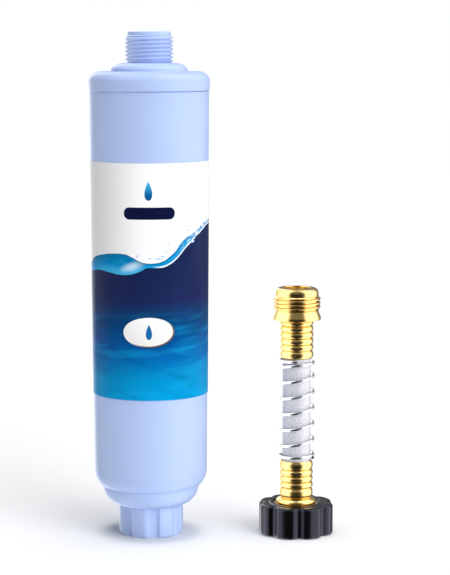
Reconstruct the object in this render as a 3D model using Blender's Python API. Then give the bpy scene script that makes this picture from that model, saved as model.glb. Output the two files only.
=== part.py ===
"""Inline garden-hose water filter, and the spring-guarded hose protector that goes with it.

The filter stands on its inlet collar with the outlet neck up. The protector stands beside it on its
swivel nut. The origin is on the floor, under the middle of both. Everything is in metres, +Z up.
"""
import math

import bmesh
import bpy

MM = 0.001

# ---- fits and mesh fineness ----
GAP = 0.3 * MM                    # left between pieces that touch
MERGE = 0.002 * MM                # points closer than this are one point
HOSE_SEGMENTS = 20                # points round the protector's pieces
SHARP_ANGLE = math.radians(38)

# ---- garden hose thread, 3/4 inch, 11.5 turns to the inch, right hand ----
THREAD_MAJOR = 26.99 * MM
THREAD_PITCH = 25.4 / 11.5 * MM
THREAD_DEPTH = 1.43 * MM
THREAD_PLAY = 0.13 * MM           # how much larger, on the radius, a socket's thread is
THREAD_FADE = 1.2 * MM            # length over which a thread rises out of its wall
# corners of one turn of the thread form: share of the pitch, share of the depth
THREAD_FORM = ((0.07, 0.0), (0.43, 1.0), (0.57, 1.0), (0.93, 0.0))

# ---- filter ----
FILTER_HEIGHT = 284.7 * MM
BODY_DIAMETER = 66.8 * MM         # canister at its rim
BODY_DRAFT = 1.45 * MM             # how much the canister's radius shrinks down to the fillet
WALL = 2.6 * MM
NECK_HEIGHT = 17.4 * MM
NECK_LEAD = 2.4 * MM              # plain end of the neck above its thread
NECK_BORE = 15.0 * MM
BOSS_DIAMETER = 43.5 * MM
BOSS_HEIGHT = 4.7 * MM
BOSS_ROUND = 4.4 * MM
CAP_HEIGHT = 10.5 * MM            # from the seam to the shoulder
CAP_PROUD = 0.4 * MM              # how far the cap stands outside the canister's rim
CAP_ROUND = 5.0 * MM
SEAM_CHAMFER = 0.5 * MM
SPIGOT_DEPTH = 12.4 * MM          # how far the cap's inner ring reaches below the seam
FILLET_TOP = 37.4 * MM            # height where the foot fillet starts
STEP_HEIGHT = 28.5 * MM           # height of the step line above the floor
FILLET_IN = 3.7 * MM              # how far the foot fillet draws in
STEP_IN = 1.1 * MM                # width of the step's ledge
BOWL_IN = 6.0 * MM                # how far the bowl draws in below the step
COLLAR_HEIGHT = 17.8 * MM
COLLAR_WALL = 4.6 * MM            # from the socket's wall to a grip panel's face
COLLAR_ROUND = 2.0 * MM
COLLAR_PANELS = 7
COLLAR_STEPS = 4                  # points to a panel, which the whole filter keeps
COLLAR_GROOVE = 1.7 * MM
COLLAR_TURN = math.radians(6.0)   # turn of the grooves about the axis
SOCKET_DEPTH = 13.6 * MM
SOCKET_LEAD = 0.9 * MM            # plain mouth of a socket, before its thread
INLET_BORE = 13.0 * MM
FLOOR_HEIGHT = 20.6 * MM          # inside floor of the bowl
LEDGE_HEIGHT = 38.0 * MM          # ledge that carries the lower grid
LEDGE_WIDTH = 4.6 * MM
LABEL_BOTTOM = 81.8 * MM
LABEL_DROP = 38.9 * MM            # from the seam down to the label's top
LABEL_GAP = 0.12 * MM
LABEL_THICKNESS = 0.2 * MM
GRID_THICKNESS = 3.0 * MM
GRID_HOLE = 5.0 * MM
GRID_RINGS = ((1, 0.0), (6, 0.36), (10, 0.76))   # holes in a ring, share of the grid's radius
FELT_THICKNESS = 6.0 * MM
MIDDLE_FELT = 4.0 * MM
KDF_DEPTH = 22.0 * MM
WASHER_THICKNESS = 3.0 * MM
WASHER_HOLE = 16.0 * MM

# ---- hose protector ----
STANDING_GAP = 27.3 * MM          # between the filter and the swivel nut
GRIP_HEIGHT = 17.8 * MM
GRIP_WALL = 6.275 * MM            # from the grip's bore to the lobes' tops
GRIP_VALLEY = 2.3 * MM
GRIP_LOBES = 8
GRIP_STEPS = 4                    # points to a lobe
GRIP_TURN = math.radians(26.0)    # turn of a lobe from the -Y direction
GRIP_ROUND = 2.0 * MM
GRIP_LIP = 2.5 * MM               # thickness of the lip over the brass nut
NUT_WALL = 1.6 * MM
NUT_RECESS = 0.5 * MM             # from the floor up to the brass nut
NUT_SOCKET = 12.0 * MM
NUT_NECK_WALL = 4.4 * MM          # from the stem to the nut's neck
FLANGE_THICKNESS = 2.4 * MM
STEM_PLAY = 0.5 * MM
HOSE_DIAMETER = 16.1 * MM
BRAID_THICKNESS = 0.55 * MM
LINER_THICKNESS = 1.5 * MM
BARB_WALL = 1.2 * MM
BARB_TOOTH = 0.5 * MM             # height of a barb's tooth
BARB_TEETH = 4
FERRULE_WALL = 1.2 * MM
FERRULE_GROOVE = 0.75 * MM
FERRULE_GROOVE_WIDTH = 1.1 * MM
LOWER_FERRULE = 22.3 * MM
LOWER_BAND = 6.5 * MM             # from the flared ring up to the first groove
LOWER_GROOVE_PITCH = 3.6 * MM
LOWER_GROOVES = 4
UPPER_FERRULE = 21.7 * MM
UPPER_BAND = 4.4 * MM             # from the lower end up to the first groove
UPPER_GROOVE_PITCH = 3.56 * MM
UPPER_GROOVES = 5
FLARE_OUT = 1.75 * MM             # how far the flared ring stands out of its sleeve
FLARE_HEIGHT = 2.0 * MM
HOSE_FREE_LENGTH = 59.0 * MM      # between the ferrules
SPRING_PLAY = 0.525 * MM          # between the spring and the hose
SPRING_WIRE = 1.75 * MM
SPRING_END_GAP = 0.35 * MM        # between the wire of the closed end turns
SPRING_TURNS = 5.75               # open turns between the closed ones
SPRING_STEPS = 14                 # points to a turn
SPRING_SIDES = 6
MALE_FLANGE_HEIGHT = 5.2 * MM
MALE_FLANGE_PROUD = 0.2 * MM      # how far the flange's foot stands outside the thread
MALE_FLANGE_SLOPE = 1.5 * MM      # how far the flange draws in up to the thread
MALE_THREAD = 8.4 * MM
MALE_NOSE = 4.6 * MM
MALE_NOSE_IN = 1.15 * MM          # from the thread's crest in to the nose
MALE_NOSE_ROUND = 2.9 * MM
MALE_BORE = 15.0 * MM
MALE_BORE_DEPTH = 14.0 * MM

# ---- worked out from the sizes above ----
thread_crest = THREAD_MAJOR / 2
thread_root = thread_crest - THREAD_DEPTH
socket_wall = thread_crest + THREAD_PLAY
socket_crest = socket_wall - THREAD_DEPTH

filter_segments = COLLAR_PANELS * COLLAR_STEPS
rim_radius = BODY_DIAMETER / 2
cap_radius = rim_radius + CAP_PROUD
neck_bottom = FILTER_HEIGHT - NECK_HEIGHT
shoulder = neck_bottom - BOSS_HEIGHT
seam = shoulder - CAP_HEIGHT
spigot_bottom = seam - SPIGOT_DEPTH
label_top = seam - LABEL_DROP
collar_radius = socket_wall + COLLAR_WALL
inlet_washer_bottom = SOCKET_DEPTH - GAP - WASHER_THICKNESS

stem_radius = HOSE_DIAMETER / 2
grip_bore = socket_wall + NUT_WALL + GAP
grip_radius = grip_bore + GRIP_WALL
nut_web_bottom = NUT_RECESS + NUT_SOCKET
hose_washer_bottom = nut_web_bottom - 2 * GAP - FLANGE_THICKNESS - WASHER_THICKNESS
flare_bottom = GRIP_HEIGHT - GAP / 2
lower_ferrule_bottom = flare_bottom + FLARE_HEIGHT
lower_ferrule_top = lower_ferrule_bottom + LOWER_FERRULE
upper_ferrule_bottom = lower_ferrule_top + HOSE_FREE_LENGTH
upper_ferrule_top = upper_ferrule_bottom + UPPER_FERRULE
male_bottom = upper_ferrule_top + GAP
male_top = male_bottom + MALE_FLANGE_HEIGHT + MALE_THREAD + MALE_NOSE
hose_bottom = lower_ferrule_bottom + GAP
hose_top = upper_ferrule_top - GAP
hose_middle = (lower_ferrule_top + upper_ferrule_bottom) / 2
liner_outer = HOSE_DIAMETER / 2 - BRAID_THICKNESS - GAP
liner_inner = liner_outer - LINER_THICKNESS
barb_radius = liner_inner - GAP
barb_bore = barb_radius - BARB_TOOTH - BARB_WALL
ferrule_bore = HOSE_DIAMETER / 2 + GAP
ferrule_outer = ferrule_bore + FERRULE_WALL
coil_radius = HOSE_DIAMETER / 2 + SPRING_PLAY + SPRING_WIRE / 2


def grip_lobes(radius, z, angle):
    """The grip's lobes, on its outside only. The whole grip is turned by the lobes' turn."""
    if radius > grip_bore + GAP:
        lobe = math.cos(GRIP_LOBES * angle)
        radius -= GRIP_VALLEY * (0.5 - 0.5 * lobe) ** 2
    return radius, angle - math.pi / 2 + GRIP_TURN


def grip_reach():
    """How far the lobed grip reaches along +X from its axis."""
    steps = GRIP_LOBES * GRIP_STEPS
    points = [grip_lobes(grip_radius, 0.0, 2 * math.pi * step / steps) for step in range(steps)]
    return max(radius * math.cos(angle) for radius, angle in points)


axis_spacing = cap_radius + STANDING_GAP + grip_radius
overall_width = cap_radius + axis_spacing + grip_reach()
filter_x = cap_radius - overall_width / 2
protector_x = filter_x + axis_spacing


def body_radius(z):
    """Outside radius of the canister's tapered wall at a height."""
    return rim_radius - BODY_DRAFT * (seam - z) / (seam - FILLET_TOP)


def inside_radius(z):
    """Inside radius of the canister's tapered wall at a height."""
    return body_radius(z) - WALL


def arc(centre, radius, start, end, steps):
    """Points (r, z) along an arc, its angles in degrees from the +r direction."""
    points = []
    for step in range(steps + 1):
        angle = math.radians(start + (end - start) * step / steps)
        points.append((centre[0] + radius * math.cos(angle), centre[1] + radius * math.sin(angle)))
    return points


def curve_in(start, end, steps, rise):
    """Points (r, z) on a quarter of an ellipse that leaves start along z and reaches end along r."""
    points = []
    for step in range(steps + 1):
        angle = math.radians(rise) * step / steps
        across = (1 - math.cos(angle)) / (1 - math.cos(math.radians(rise)))
        along = math.sin(angle) / math.sin(math.radians(rise))
        points.append((start[0] + (end[0] - start[0]) * across, start[1] + (end[1] - start[1]) * along))
    return points


def add_ring(bm, point, segments, shape=None):
    """One ring of points round the axis. shape gives a radius from (radius, height, angle)."""
    ring = []
    for step in range(segments):
        angle = 2 * math.pi * step / segments
        radius = point[0]
        if shape:
            radius, angle = shape(radius, point[1], angle)
        ring.append(bm.verts.new((radius * math.cos(angle), radius * math.sin(angle), point[1])))
    return ring


def join_rings(bm, low, high):
    """Faces between two rings of the same count."""
    count = len(low)
    for step in range(count):
        after = (step + 1) % count
        bm.faces.new((low[step], low[after], high[after], high[step]))


def add_turned(bm, outline, segments, closed, shape=None):
    """A profile of (r, z) points turned round the axis. closed joins its last point to its first."""
    rings = [add_ring(bm, point, segments, shape) for point in outline]
    for low, high in zip(rings, rings[1:]):
        join_rings(bm, low, high)
    if closed:
        join_rings(bm, rings[-1], rings[0])
    return rings


def add_thread(bm, root, crest, low, high, segments):
    """A right-hand screw thread between two heights, faded into the plain wall at both ends."""
    corners = len(THREAD_FORM)
    turns = math.ceil((high - low) / THREAD_PITCH) + 1
    rows = []
    for row in range(-2 * corners, turns * corners + 1):
        share, depth = THREAD_FORM[row % corners]
        points = []
        for step in range(segments + 1):
            rise = THREAD_PITCH * (row // corners + share + step / segments)
            z = min(max(low + rise, low), high)
            fade = min(1.0, (z - low) / THREAD_FADE, (high - z) / THREAD_FADE)
            radius = root + (crest - root) * depth * fade
            angle = 2 * math.pi * step / segments
            points.append(bm.verts.new((radius * math.cos(angle), radius * math.sin(angle), z)))
        rows.append(points)
    for lower, upper in zip(rows, rows[1:]):
        for step in range(segments):
            bm.faces.new((lower[step], lower[step + 1], upper[step + 1], upper[step]))


def finish(name, base_color, roughness, metallic=0.0):
    """A material for one piece."""
    material = bpy.data.materials.new(name)
    material.use_nodes = True
    shader = material.node_tree.nodes["Principled BSDF"]
    shader.inputs["Base Color"].default_value = (*base_color, 1.0)
    shader.inputs["Roughness"].default_value = roughness
    shader.inputs["Metallic"].default_value = metallic
    return material


def add_piece(name, bm, material, axis):
    """Close the mesh up, point its faces out, and hang it on an axis with its heights kept."""
    bmesh.ops.remove_doubles(bm, verts=bm.verts, dist=MERGE)
    bmesh.ops.recalc_face_normals(bm, faces=bm.faces)
    mesh = bpy.data.meshes.new(name)
    bm.to_mesh(mesh)
    bm.free()
    mesh.shade_smooth()
    mesh.set_sharp_from_angle(angle=SHARP_ANGLE)
    mesh.materials.append(material)
    piece = bpy.data.objects.new(name, mesh)
    bpy.context.scene.collection.objects.link(piece)
    piece.parent = axis
    piece.location.z = -axis.location.z
    return piece


def add_axis(name, x, z):
    """An empty on a vertical axis or a pivot, which carries the pieces of one body."""
    axis = bpy.data.objects.new(name, None)
    axis.location = (x, 0.0, z)
    bpy.context.scene.collection.objects.link(axis)
    return axis


def make_disc(name, radius, bottom, top, material, axis, top_radius=None):
    """A plain round slab with flat ends."""
    bm = bmesh.new()
    low, high = add_turned(bm, [(radius, bottom), (top_radius or radius, top)], filter_segments, False)
    bm.faces.new(low)
    bm.faces.new(high)
    return add_piece(name, bm, material, axis)


def make_washer(name, outer, bottom, segments, material, axis):
    """A flat rubber ring."""
    bm = bmesh.new()
    hole = WASHER_HOLE / 2
    top = bottom + WASHER_THICKNESS
    outline = [(hole, bottom), (outer, bottom), (outer, top), (hole, top)]
    add_turned(bm, outline, segments, True)
    return add_piece(name, bm, material, axis)


def make_grid(name, radius, bottom, material, axis):
    """A support grid: a round plate with rings of holes cut through it."""
    grid = make_disc(name, radius, bottom, bottom + GRID_THICKNESS, material, axis)
    bm = bmesh.new()
    for count, share in GRID_RINGS:
        for hole in range(count):
            angle = 2 * math.pi * hole / count
            centre = (radius * share * math.cos(angle), radius * share * math.sin(angle))
            rings = []
            for z in (bottom - GRID_THICKNESS, bottom + 2 * GRID_THICKNESS):
                ring = add_ring(bm, (GRID_HOLE / 2, z), 6)
                for vertex in ring:
                    vertex.co.x += centre[0]
                    vertex.co.y += centre[1]
                rings.append(ring)
            join_rings(bm, *rings)
            bm.faces.new(rings[0])
            bm.faces.new(rings[1])
    cutter = add_piece(name + "_holes", bm, material, axis)
    cutter.hide_render = True
    cutter.display_type = "WIRE"
    cut = grid.modifiers.new("holes", "BOOLEAN")
    cut.operation = "DIFFERENCE"
    cut.solver = "EXACT"
    cut.object = cutter
    return grid


# ---- the filter's pieces ----

def collar_grip(radius, z, angle):
    """The inlet collar's grooves, which run from its top down to the rounded rim."""
    if radius < socket_wall + GAP or z > COLLAR_HEIGHT or radius > collar_radius + GAP:
        return radius, angle
    turned_angle = angle + COLLAR_TURN
    panel = 2 * math.pi / COLLAR_PANELS
    off_groove = abs((angle + math.pi / 2 + panel / 2) % panel - panel / 2)
    if off_groove < math.pi / filter_segments:
        radius = min(radius, collar_radius - COLLAR_GROOVE)
    return radius, turned_angle


def make_canister(axis):
    """The canister: tapered wall, foot fillet, step, bowl and the threaded inlet collar."""
    thread_top = inlet_washer_bottom - GAP
    foot_radius = body_radius(FILLET_TOP)
    step_outer = foot_radius - FILLET_IN
    bowl_top = step_outer - STEP_IN
    bowl_bottom = bowl_top - BOWL_IN
    ledge_inner = inside_radius(LEDGE_HEIGHT) - LEDGE_WIDTH
    bowl_floor = bowl_bottom - WALL
    outline = [
        (socket_wall, thread_top),
        (socket_wall, SOCKET_DEPTH),
        (INLET_BORE / 2, SOCKET_DEPTH),
        (INLET_BORE / 2, FLOOR_HEIGHT),
    ]
    outline += reversed(curve_in((ledge_inner, LEDGE_HEIGHT - 2 * WALL), (bowl_floor, FLOOR_HEIGHT), 4, 70))
    outline += [
        (ledge_inner, LEDGE_HEIGHT),
        (inside_radius(LEDGE_HEIGHT), LEDGE_HEIGHT),
        (inside_radius(seam), seam - GAP),
        (rim_radius - SEAM_CHAMFER / 2, seam - GAP),
        (rim_radius, seam - GAP - SEAM_CHAMFER),
    ]
    outline += curve_in((foot_radius, FILLET_TOP), (step_outer, STEP_HEIGHT), 4, 55)
    outline += curve_in((bowl_top, STEP_HEIGHT - GAP), (bowl_bottom, COLLAR_HEIGHT + GAP), 4, 62)
    outline += [
        (collar_radius, COLLAR_HEIGHT),
    ]
    outline += arc((collar_radius - COLLAR_ROUND, COLLAR_ROUND), COLLAR_ROUND, 0, -90, 3)
    outline += [
        (socket_wall, 0.0),
        (socket_wall, SOCKET_LEAD),
    ]
    bm = bmesh.new()
    add_turned(bm, outline, filter_segments, False, collar_grip)
    add_thread(bm, socket_wall, socket_crest, SOCKET_LEAD, thread_top, filter_segments)
    blue = finish("canister_blue", (0.36, 0.49, 0.83), 0.42)
    return add_piece("canister", bm, blue, axis)


def make_outlet_cap(axis):
    """The end cap: inner ring, rounded shoulder, boss and the threaded outlet neck."""
    thread_top = FILTER_HEIGHT - NECK_LEAD
    ring_outer = inside_radius(seam) - GAP
    ring_inner = ring_outer - WALL
    tip_outer = inside_radius(spigot_bottom) - GAP
    ceiling = shoulder - WALL
    edge = NECK_LEAD / 4
    outline = [
        (thread_root, thread_top),
        (thread_root, FILTER_HEIGHT - edge),
        (thread_root - edge, FILTER_HEIGHT),
        (NECK_BORE / 2, FILTER_HEIGHT),
        (NECK_BORE / 2, ceiling),
        (ring_inner, ceiling),
        (tip_outer - WALL, spigot_bottom),
        (tip_outer, spigot_bottom),
        (ring_outer, seam),
        (cap_radius - SEAM_CHAMFER, seam),
        (cap_radius, seam + SEAM_CHAMFER),
    ]
    outline += arc((cap_radius - CAP_ROUND, shoulder - CAP_ROUND), CAP_ROUND, 0, 90, 4)
    boss_radius = BOSS_DIAMETER / 2
    outline += [(boss_radius, shoulder)]
    outline += arc((boss_radius - BOSS_ROUND, neck_bottom - BOSS_ROUND), BOSS_ROUND, 0, 90, 3)
    outline += [(thread_root, neck_bottom)]
    bm = bmesh.new()
    add_turned(bm, outline, filter_segments, False)
    add_thread(bm, thread_root, thread_crest, neck_bottom, thread_top, filter_segments)
    blue = finish("cap_blue", (0.36, 0.49, 0.83), 0.42)
    return add_piece("outlet_cap", bm, blue, axis)


def make_label(axis):
    """The wrap label, a thin sleeve that follows the canister's taper."""
    low = body_radius(LABEL_BOTTOM) + LABEL_GAP
    high = body_radius(label_top) + LABEL_GAP
    outline = [
        (low, LABEL_BOTTOM),
        (low + LABEL_THICKNESS, LABEL_BOTTOM),
        (high + LABEL_THICKNESS, label_top),
        (high, label_top),
    ]
    bm = bmesh.new()
    add_turned(bm, outline, filter_segments, True)
    navy = finish("label_navy", (0.02, 0.04, 0.13), 0.35)
    return add_piece("label_wrap", bm, navy, axis)


def make_media(axis):
    """What the canister holds, from the lower grid up to the cap's inner ring."""
    grid_plastic = finish("grid_plastic", (0.85, 0.86, 0.86), 0.5)
    felt = finish("felt_white", (0.9, 0.9, 0.86), 0.95)
    kdf = finish("kdf_bronze", (0.55, 0.4, 0.16), 0.55, 0.6)
    carbon = finish("carbon_black", (0.02, 0.02, 0.022), 0.9)

    def fill(name, bottom, top, material):
        low = inside_radius(bottom) - GAP
        return make_disc(name, low, bottom, top, material, axis, inside_radius(top) - GAP)

    bottom = LEDGE_HEIGHT + GAP
    make_grid("lower_support_grid", inside_radius(bottom) - GAP, bottom, grid_plastic, axis)
    bottom += GRID_THICKNESS + GAP
    fill("lower_felt_pad", bottom, bottom + FELT_THICKNESS, felt)
    bottom += FELT_THICKNESS + GAP
    fill("kdf_bed", bottom, bottom + KDF_DEPTH, kdf)
    bottom += KDF_DEPTH + GAP
    fill("middle_felt_pad", bottom, bottom + MIDDLE_FELT, felt)
    bottom += MIDDLE_FELT + GAP
    grid_bottom = spigot_bottom - GAP - GRID_THICKNESS
    pad_bottom = grid_bottom - GAP - FELT_THICKNESS
    fill("carbon_bed", bottom, pad_bottom - GAP, carbon)
    fill("upper_felt_pad", pad_bottom, pad_bottom + FELT_THICKNESS, felt)
    grid_radius = inside_radius(grid_bottom) - GAP
    make_grid("upper_support_grid", grid_radius, grid_bottom, grid_plastic, axis)


def make_inlet_washer(axis):
    """The rubber washer at the bottom of the inlet socket."""
    rubber = finish("washer_rubber", (0.03, 0.03, 0.03), 0.8)
    outer = socket_wall - GAP
    make_washer("inlet_washer", outer, inlet_washer_bottom, filter_segments, rubber, axis)


# ---- the protector's pieces ----

def make_nut_grip(axis):
    """The black grip moulded round the brass nut."""
    outer = grip_radius
    hole = stem_radius + NUT_NECK_WALL + STEM_PLAY + GAP
    lip_bottom = GRIP_HEIGHT - GRIP_LIP
    outline = arc((outer - GRIP_ROUND, GRIP_ROUND), GRIP_ROUND, -90, 0, 2)
    outline += arc((outer - GRIP_ROUND, GRIP_HEIGHT - GRIP_ROUND), GRIP_ROUND, 0, 90, 2)
    outline += [
        (hole, GRIP_HEIGHT),
        (hole, lip_bottom),
        (grip_bore, lip_bottom),
        (grip_bore, 0.0),
    ]
    bm = bmesh.new()
    add_turned(bm, outline, GRIP_LOBES * GRIP_STEPS, True, grip_lobes)
    black = finish("grip_black", (0.012, 0.012, 0.013), 0.22)
    return add_piece("nut_grip", bm, black, axis)


def make_swivel_nut(axis):
    """The brass nut: threaded socket, web with a hole for the stem, and a short neck."""
    hole = stem_radius + STEM_PLAY
    neck = hole + NUT_NECK_WALL
    outer = socket_wall + NUT_WALL
    shoulder_top = GRIP_HEIGHT - GRIP_LIP - GAP
    neck_top = GRIP_HEIGHT - 2 * GAP
    thread_bottom = NUT_RECESS + SOCKET_LEAD
    thread_top = hose_washer_bottom - GAP
    outline = [
        (socket_wall, thread_top),
        (socket_wall, nut_web_bottom),
        (hole, nut_web_bottom),
        (hole, neck_top),
        (neck, neck_top),
        (neck, shoulder_top),
        (outer, shoulder_top),
        (outer, NUT_RECESS),
        (socket_wall, NUT_RECESS),
        (socket_wall, thread_bottom),
    ]
    bm = bmesh.new()
    add_turned(bm, outline, HOSE_SEGMENTS, False)
    add_thread(bm, socket_wall, socket_crest, thread_bottom, thread_top, HOSE_SEGMENTS)
    brass = finish("nut_brass", (0.80, 0.58, 0.22), 0.25, 1.0)
    return add_piece("swivel_nut", bm, brass, axis)


def barb_outline(start, end):
    """Outside of a hose barb from one height to another: saw teeth that hold against a pull."""
    points = []
    for tooth in range(BARB_TEETH):
        base = start + (end - start) * tooth / BARB_TEETH
        points.append((barb_radius, base))
        points.append((barb_radius - BARB_TOOTH, base + (end - start) / BARB_TEETH * 0.9))
    points.append((barb_radius - BARB_TOOTH, end))
    return points


def make_tailpiece(axis):
    """The tailpiece: flange held in the nut, stem through its web, and a barb in the hose."""
    flange_top = nut_web_bottom - GAP
    flange_bottom = flange_top - FLANGE_THICKNESS
    flange_radius = socket_wall - 2 * GAP
    stem_top = lower_ferrule_bottom
    outline = [
        (barb_bore, flange_bottom),
        (flange_radius, flange_bottom),
        (flange_radius, flange_top),
        (stem_radius, flange_top),
        (stem_radius, stem_top),
    ]
    outline += barb_outline(stem_top, lower_ferrule_top)
    outline += [(barb_bore, lower_ferrule_top)]
    bm = bmesh.new()
    add_turned(bm, outline, HOSE_SEGMENTS, True)
    brass = finish("tailpiece_brass", (0.80, 0.58, 0.22), 0.28, 1.0)
    return add_piece("tailpiece", bm, brass, axis)


def crimped(first_groove, groove_pitch, grooves):
    """Outside of a crimped sleeve from its lowest groove up: grooves with sloped sides."""
    inner = ferrule_outer - FERRULE_GROOVE
    half = FERRULE_GROOVE_WIDTH / 2
    slope = half * 0.8
    points = []
    for groove in range(grooves):
        middle = first_groove + groove * groove_pitch
        points.append((ferrule_outer, middle - half - slope))
        points.append((inner, middle - half))
        points.append((inner, middle + half))
        points.append((ferrule_outer, middle + half + slope))
    return points


def make_lower_ferrule(axis):
    """The sleeve crimped on the hose at the nut end, with its flared ring."""
    flare = ferrule_outer + FLARE_OUT
    edge = FLARE_HEIGHT / 5
    outline = [
        (ferrule_bore, flare_bottom),
        (flare - edge, flare_bottom),
        (flare, flare_bottom + edge),
        (flare, lower_ferrule_bottom - edge),
        (flare - edge, lower_ferrule_bottom),
        (ferrule_outer, lower_ferrule_bottom),
    ]
    outline += crimped(lower_ferrule_bottom + LOWER_BAND, LOWER_GROOVE_PITCH, LOWER_GROOVES)
    outline += [
        (ferrule_outer, lower_ferrule_top - edge),
        (ferrule_outer - edge, lower_ferrule_top),
        (ferrule_bore, lower_ferrule_top),
    ]
    bm = bmesh.new()
    add_turned(bm, outline, HOSE_SEGMENTS, True)
    brass = finish("lower_ferrule_brass", (0.80, 0.58, 0.22), 0.28, 1.0)
    return add_piece("lower_ferrule", bm, brass, axis)


def make_upper_ferrule(axis):
    """The sleeve crimped on the hose at the male end."""
    edge = FLARE_HEIGHT / 5
    outline = [
        (ferrule_bore, upper_ferrule_bottom),
        (ferrule_outer - edge, upper_ferrule_bottom),
        (ferrule_outer, upper_ferrule_bottom + edge),
    ]
    outline += crimped(upper_ferrule_bottom + UPPER_BAND, UPPER_GROOVE_PITCH, UPPER_GROOVES)
    outline += [
        (ferrule_outer, upper_ferrule_top - edge),
        (ferrule_outer - edge, upper_ferrule_top),
        (ferrule_bore, upper_ferrule_top),
    ]
    bm = bmesh.new()
    add_turned(bm, outline, HOSE_SEGMENTS, True)
    brass = finish("upper_ferrule_brass", (0.80, 0.58, 0.22), 0.28, 1.0)
    return add_piece("upper_ferrule", bm, brass, axis)


def make_hose(axis):
    """The inner tube and the braided cover, two sleeves one inside the other."""
    vinyl = finish("liner_vinyl", (0.82, 0.83, 0.83), 0.35)
    braid = finish("braid_white", (0.82, 0.83, 0.85), 0.45)
    sleeves = (
        ("hose_liner", liner_outer, liner_inner, vinyl),
        ("hose_braid", HOSE_DIAMETER / 2, HOSE_DIAMETER / 2 - BRAID_THICKNESS, braid),
    )
    for name, outer, inner, material in sleeves:
        outline = [(inner, hose_bottom), (outer, hose_bottom), (outer, hose_top), (inner, hose_top)]
        bm = bmesh.new()
        add_turned(bm, outline, HOSE_SEGMENTS, True)
        add_piece(name, bm, material, axis)


def spring_path(bottom, top):
    """Points down the middle of the spring's wire: closed end turns, open turns between them."""
    closed_pitch = SPRING_WIRE + SPRING_END_GAP
    open_pitch = (top - bottom - 2 * closed_pitch) / SPRING_TURNS
    turns = SPRING_TURNS + 2
    count = round(turns * SPRING_STEPS)
    points = []
    for step in range(count + 1):
        turn = turns * step / count
        first = min(turn, 1.0)
        middle = min(max(turn - 1.0, 0.0), SPRING_TURNS)
        last = max(turn - 1.0 - SPRING_TURNS, 0.0)
        z = bottom + closed_pitch * (first + last) + open_pitch * middle
        angle = 2 * math.pi * turn
        points.append((coil_radius * math.cos(angle), coil_radius * math.sin(angle), z))
    return points


def make_spring(axis):
    """The open coil spring round the hose."""
    half_wire = SPRING_WIRE / 2
    bottom = lower_ferrule_top + GAP + half_wire
    top = upper_ferrule_bottom - GAP - half_wire
    bm = bmesh.new()
    rings = []
    for x, y, z in spring_path(bottom, top):
        reach = math.hypot(x, y)
        ring = []
        for side in range(SPRING_SIDES):
            angle = 2 * math.pi * (side + 0.5) / SPRING_SIDES
            radius = reach + half_wire * math.cos(angle)
            height = z + half_wire * math.sin(angle)
            ring.append(bm.verts.new((radius * x / reach, radius * y / reach, height)))
        rings.append(ring)
    for low, high in zip(rings, rings[1:]):
        join_rings(bm, low, high)
    bm.faces.new(rings[0])
    bm.faces.new(rings[-1])
    steel = finish("spring_steel", (0.72, 0.73, 0.75), 0.22, 1.0)
    return add_piece("spring_guard", bm, steel, axis)


def make_male_fitting(axis):
    """The male hose fitting: barb, sloped flange, thread and rounded nose."""
    flange_top = male_bottom + MALE_FLANGE_HEIGHT
    thread_top = flange_top + MALE_THREAD
    nose = thread_crest - MALE_NOSE_IN
    flange = thread_crest + MALE_FLANGE_PROUD
    rim_edge = MALE_FLANGE_HEIGHT / 10
    barb = list(reversed(barb_outline(male_bottom, upper_ferrule_bottom)))
    outline = [
        (thread_root, thread_top),
        (nose, thread_top),
    ]
    outline += arc((nose - MALE_NOSE_ROUND, male_top - MALE_NOSE_ROUND), MALE_NOSE_ROUND, 0, 90, 4)
    outline += [
        (MALE_BORE / 2, male_top),
        (MALE_BORE / 2, male_top - MALE_BORE_DEPTH),
        (barb_bore, male_top - MALE_BORE_DEPTH),
        (barb_bore, upper_ferrule_bottom),
    ]
    outline += barb
    outline += [
        (flange - rim_edge, male_bottom),
        (flange, male_bottom + rim_edge),
        (flange - MALE_FLANGE_SLOPE, flange_top),
        (thread_root, flange_top),
    ]
    bm = bmesh.new()
    add_turned(bm, outline, HOSE_SEGMENTS, False)
    add_thread(bm, thread_root, thread_crest, flange_top, thread_top, HOSE_SEGMENTS)
    brass = finish("male_brass", (0.80, 0.58, 0.22), 0.25, 1.0)
    return add_piece("male_fitting", bm, brass, axis)


def make_hose_washer(axis):
    """The rubber washer under the tailpiece's flange."""
    rubber = finish("hose_washer_rubber", (0.03, 0.03, 0.03), 0.8)
    outer = socket_wall - 2 * GAP
    make_washer("hose_washer", outer, hose_washer_bottom, HOSE_SEGMENTS, rubber, axis)


def main():
    for thing in list(bpy.data.objects):
        bpy.data.objects.remove(thing, do_unlink=True)

    filter_axis = add_axis("filter_axis", filter_x, 0.0)
    make_canister(filter_axis)
    make_outlet_cap(filter_axis)
    make_label(filter_axis)
    make_media(filter_axis)
    make_inlet_washer(filter_axis)

    protector_axis = add_axis("protector_axis", protector_x, 0.0)
    make_tailpiece(protector_axis)
    make_lower_ferrule(protector_axis)
    make_hose(protector_axis)
    make_spring(protector_axis)

    nut_axis = add_axis("nut_axis", protector_x, 0.0)
    make_swivel_nut(nut_axis)
    make_nut_grip(nut_axis)
    make_hose_washer(nut_axis)

    bend_axis = add_axis("bend_axis", protector_x, hose_middle)
    make_upper_ferrule(bend_axis)
    make_male_fitting(bend_axis)


main()
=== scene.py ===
"""Looks of the inline water filter and its hose protector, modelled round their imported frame.

The filter stands on its inlet collar at -X and the protector on its swivel nut at +X, with the face of
the label towards -Y. Metres, +Z up. The sizes and finishes are in property groups, each piece or group
of like pieces has an operator, and a panel in the sidebar lists them.
"""

import math

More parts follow.
